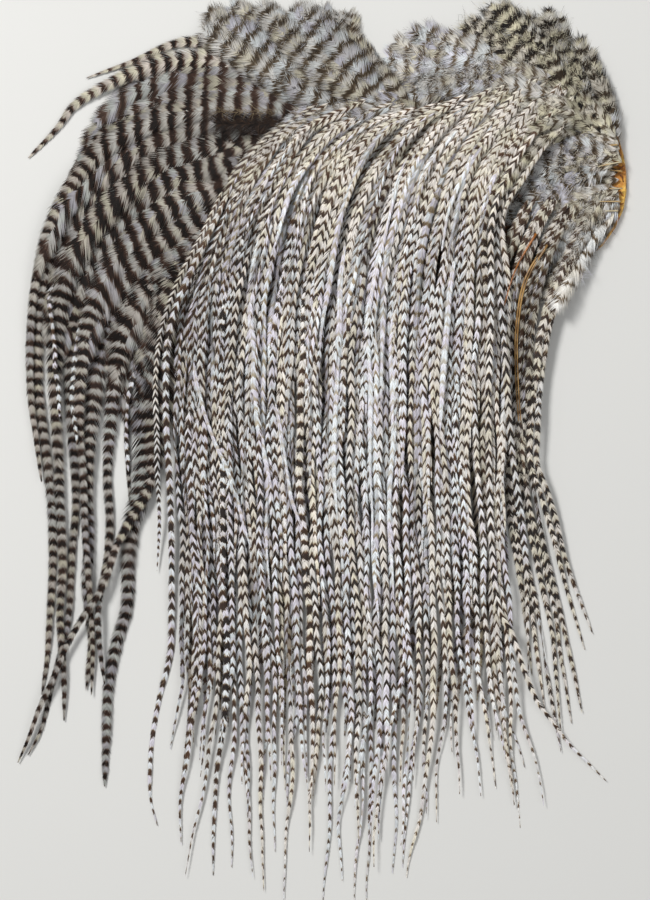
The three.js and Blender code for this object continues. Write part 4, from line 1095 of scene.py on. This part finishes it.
plume.build("plain_brown_feather_down", brownKeratin, "brown_feather", "plain_brown_feather")


# Bare quills: tapered round shafts whose vanes are gone
def addShaft(plume, route, thick, sides=10):
    lane = plume.newLane()
    reach, way = reachOf(route), headingOf(route)
    left = np.stack([-way[:, 1], way[:, 0], np.zeros(len(way))], 1)
    upward = np.cross(way, left)
    turn = np.linspace(0, 2 * math.pi, sides, endpoint=False)
    radius = thick / 2 * (1 - 0.6 * reach / reach[-1])
    around = np.cos(turn)[None, :, None] * left[:, None] + np.sin(turn)[None, :, None] * upward[:, None]
    points = route[:, None] + radius[:, None, None] * around
    count = len(route)
    blank = np.zeros((count, sides, 3))
    place = np.stack([np.repeat((reach / reach[-1])[:, None], sides, 1),
        np.tile(lane + 0.05 + 0.9 * np.arange(sides) / sides, (count, 1))], -1)
    ring = np.arange(count - 1)[:, None] * sides
    here, beyond = np.arange(sides), (np.arange(sides) + 1) % sides
    quads = np.stack([ring + here, ring + beyond, ring + beyond + sides, ring + here + sides], -1)
    fan = np.arange(1, sides - 1)
    start = np.stack([np.zeros_like(fan), fan + 1, fan], -1)
    end = (count - 1) * sides + np.stack([np.zeros_like(fan), fan, fan + 1], -1)
    plume.add(points, blank, blank, place, quads, np.concatenate([start, end]))


bareQuills = {
    "bare_quill_tan": {"thick": 0.9, "lift": 1.9, "horn": tanHorn, "shafts": [0.42, -0.42],
        "line": [(84, 78), (76, 64), (73, 46), (73, 26), (74, 11)]},
    "bare_quill_orange": {"thick": 0.95, "lift": 1.7, "horn": orangeHorn, "shafts": [0.0],
        "line": [(80, 82), (73, 70), (70, 62), (68, 55)]},
}
for name, quill in bareQuills.items():
    plume = Plume()
    line = evenly(smoothLine(quill["line"], 200), 2.0)
    for aside in quill["shafts"]:
        addShaft(plume, layOn(pileTop, moved(line, aside), quill["lift"], 2), quill["thick"])
    plume.build(f"{name}_shafts", quill["horn"], "quill", name)

# Quill ends stand along the bare rim of the skin
rim = {"line": [(107, 80), (113.5, 92), (114.3, 106), (111.5, 119), (104, 132)], "stubs": 46,
    "thick": 0.8, "long": 3.0, "pale": [(109.5, 9), (106, 6), (99.5, 5), (94.5, 8), (91, 5), (116, 5)]}
plume, rng = newPlume(101)
rimLine = evenly(smoothLine(rim["line"], 200))
skinTop = surfaceOf("hide")
for k in range(rim["stubs"]):
    here = rimLine[int((k + 0.5) * len(rimLine) / rim["stubs"])] + rng.normal(0, 0.4, 2)
    here = here - [rng.uniform(0.2, 3.4), 0]
    angle = rng.normal(math.pi, 0.5)
    way = np.array([math.cos(angle), math.sin(angle)]) * rim["long"] * rng.uniform(0.6, 1.1)
    base = heightsOn(skinTop, [here])[0]
    t = np.linspace(0, 1, 5)[:, None]
    stub = np.concatenate([here + way * t, base - 0.2 + 1.1 * t], 1)
    addShaft(plume, stub, rim["thick"] * rng.uniform(0.7, 1.1), 8)
plume.build("rim_quill_ends", orangeHorn, "quill")
# Pale ones lie over the rim: the place and the length of each
plume = Plume()
for y, long in rim["pale"]:
    here = np.array([113.2 - 0.012 * (y - 103) ** 2, y])
    t = np.linspace(0, 1, 8)[:, None]
    shaft = here + long * t * [-1.0, 0.12 * rng.normal()]
    addShaft(plume, layOn(pileTop, shaft, 1.9, 2), 0.7, 8)
plume.build("rim_pale_quills", paleHorn, "quill")

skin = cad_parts["hide"]
skin.data.materials.clear()
skin.data.materials.append(skinLeather)
print("skin and quills:", sum(faceCount.values()), "triangles; largest", max(faceCount.values()))


# Plain pale floor, soft studio light and the camera straight above
studio = {"floor": "#d8d7d3", "sky": "#e9ebee", "skyLight": 0.4, "key": 20.0, "fill": 4.5,
    "distance": 1.2, "middle": 0.005, "seen": 0.342}
floorShade, add = newMaterial("plain pale floor")
shader = add("BsdfPrincipled", {"Base Color": tint(studio["floor"]), "Roughness": 0.9})
add("OutputMaterial", {"Surface": shader})
floorMesh = bpy.data.meshes.new("floor")
floorMesh.from_pydata([(-3, -3, 0), (3, -3, 0), (3, 3, 0), (-3, 3, 0)], [], [(0, 1, 2, 3)])
floorMesh.materials.append(floorShade)
floor = bpy.data.objects.new("floor", floorMesh)
bpy.context.scene.collection.objects.link(floor)


def softbox(name, place, size, power):
    light = bpy.data.lights.new(name, "AREA")
    light.shape, light.size, light.energy = "DISK", size, power
    lamp = bpy.data.objects.new(name, light)
    lamp.location = place
    lamp.rotation_euler = (-Vector(place)).to_track_quat("-Z", "Y").to_euler()
    bpy.context.scene.collection.objects.link(lamp)


softbox("key softbox", (-0.75, 0.7, 1.1), 0.45, studio["key"])
softbox("fill softbox", (0.9, -0.5, 1.2), 1.2, studio["fill"])
world = bpy.data.worlds.new("studio")
bpy.context.scene.world = world
world.use_nodes = True
world.node_tree.nodes["Background"].inputs[0].default_value = tint(studio["sky"])
world.node_tree.nodes["Background"].inputs[1].default_value = studio["skyLight"]
bpy.context.scene.view_settings.view_transform = "Standard"

lens = bpy.data.cameras.new("camera")
lens.sensor_width = 36
lens.lens = lens.sensor_width * (studio["distance"] - studio["middle"]) / studio["seen"]
lens.clip_start = 0.01
camera = bpy.data.objects.new("camera", lens)
camera.location = (0, 0, studio["distance"])
bpy.context.scene.collection.objects.link(camera)
bpy.context.scene.camera = camera
print("studio set")
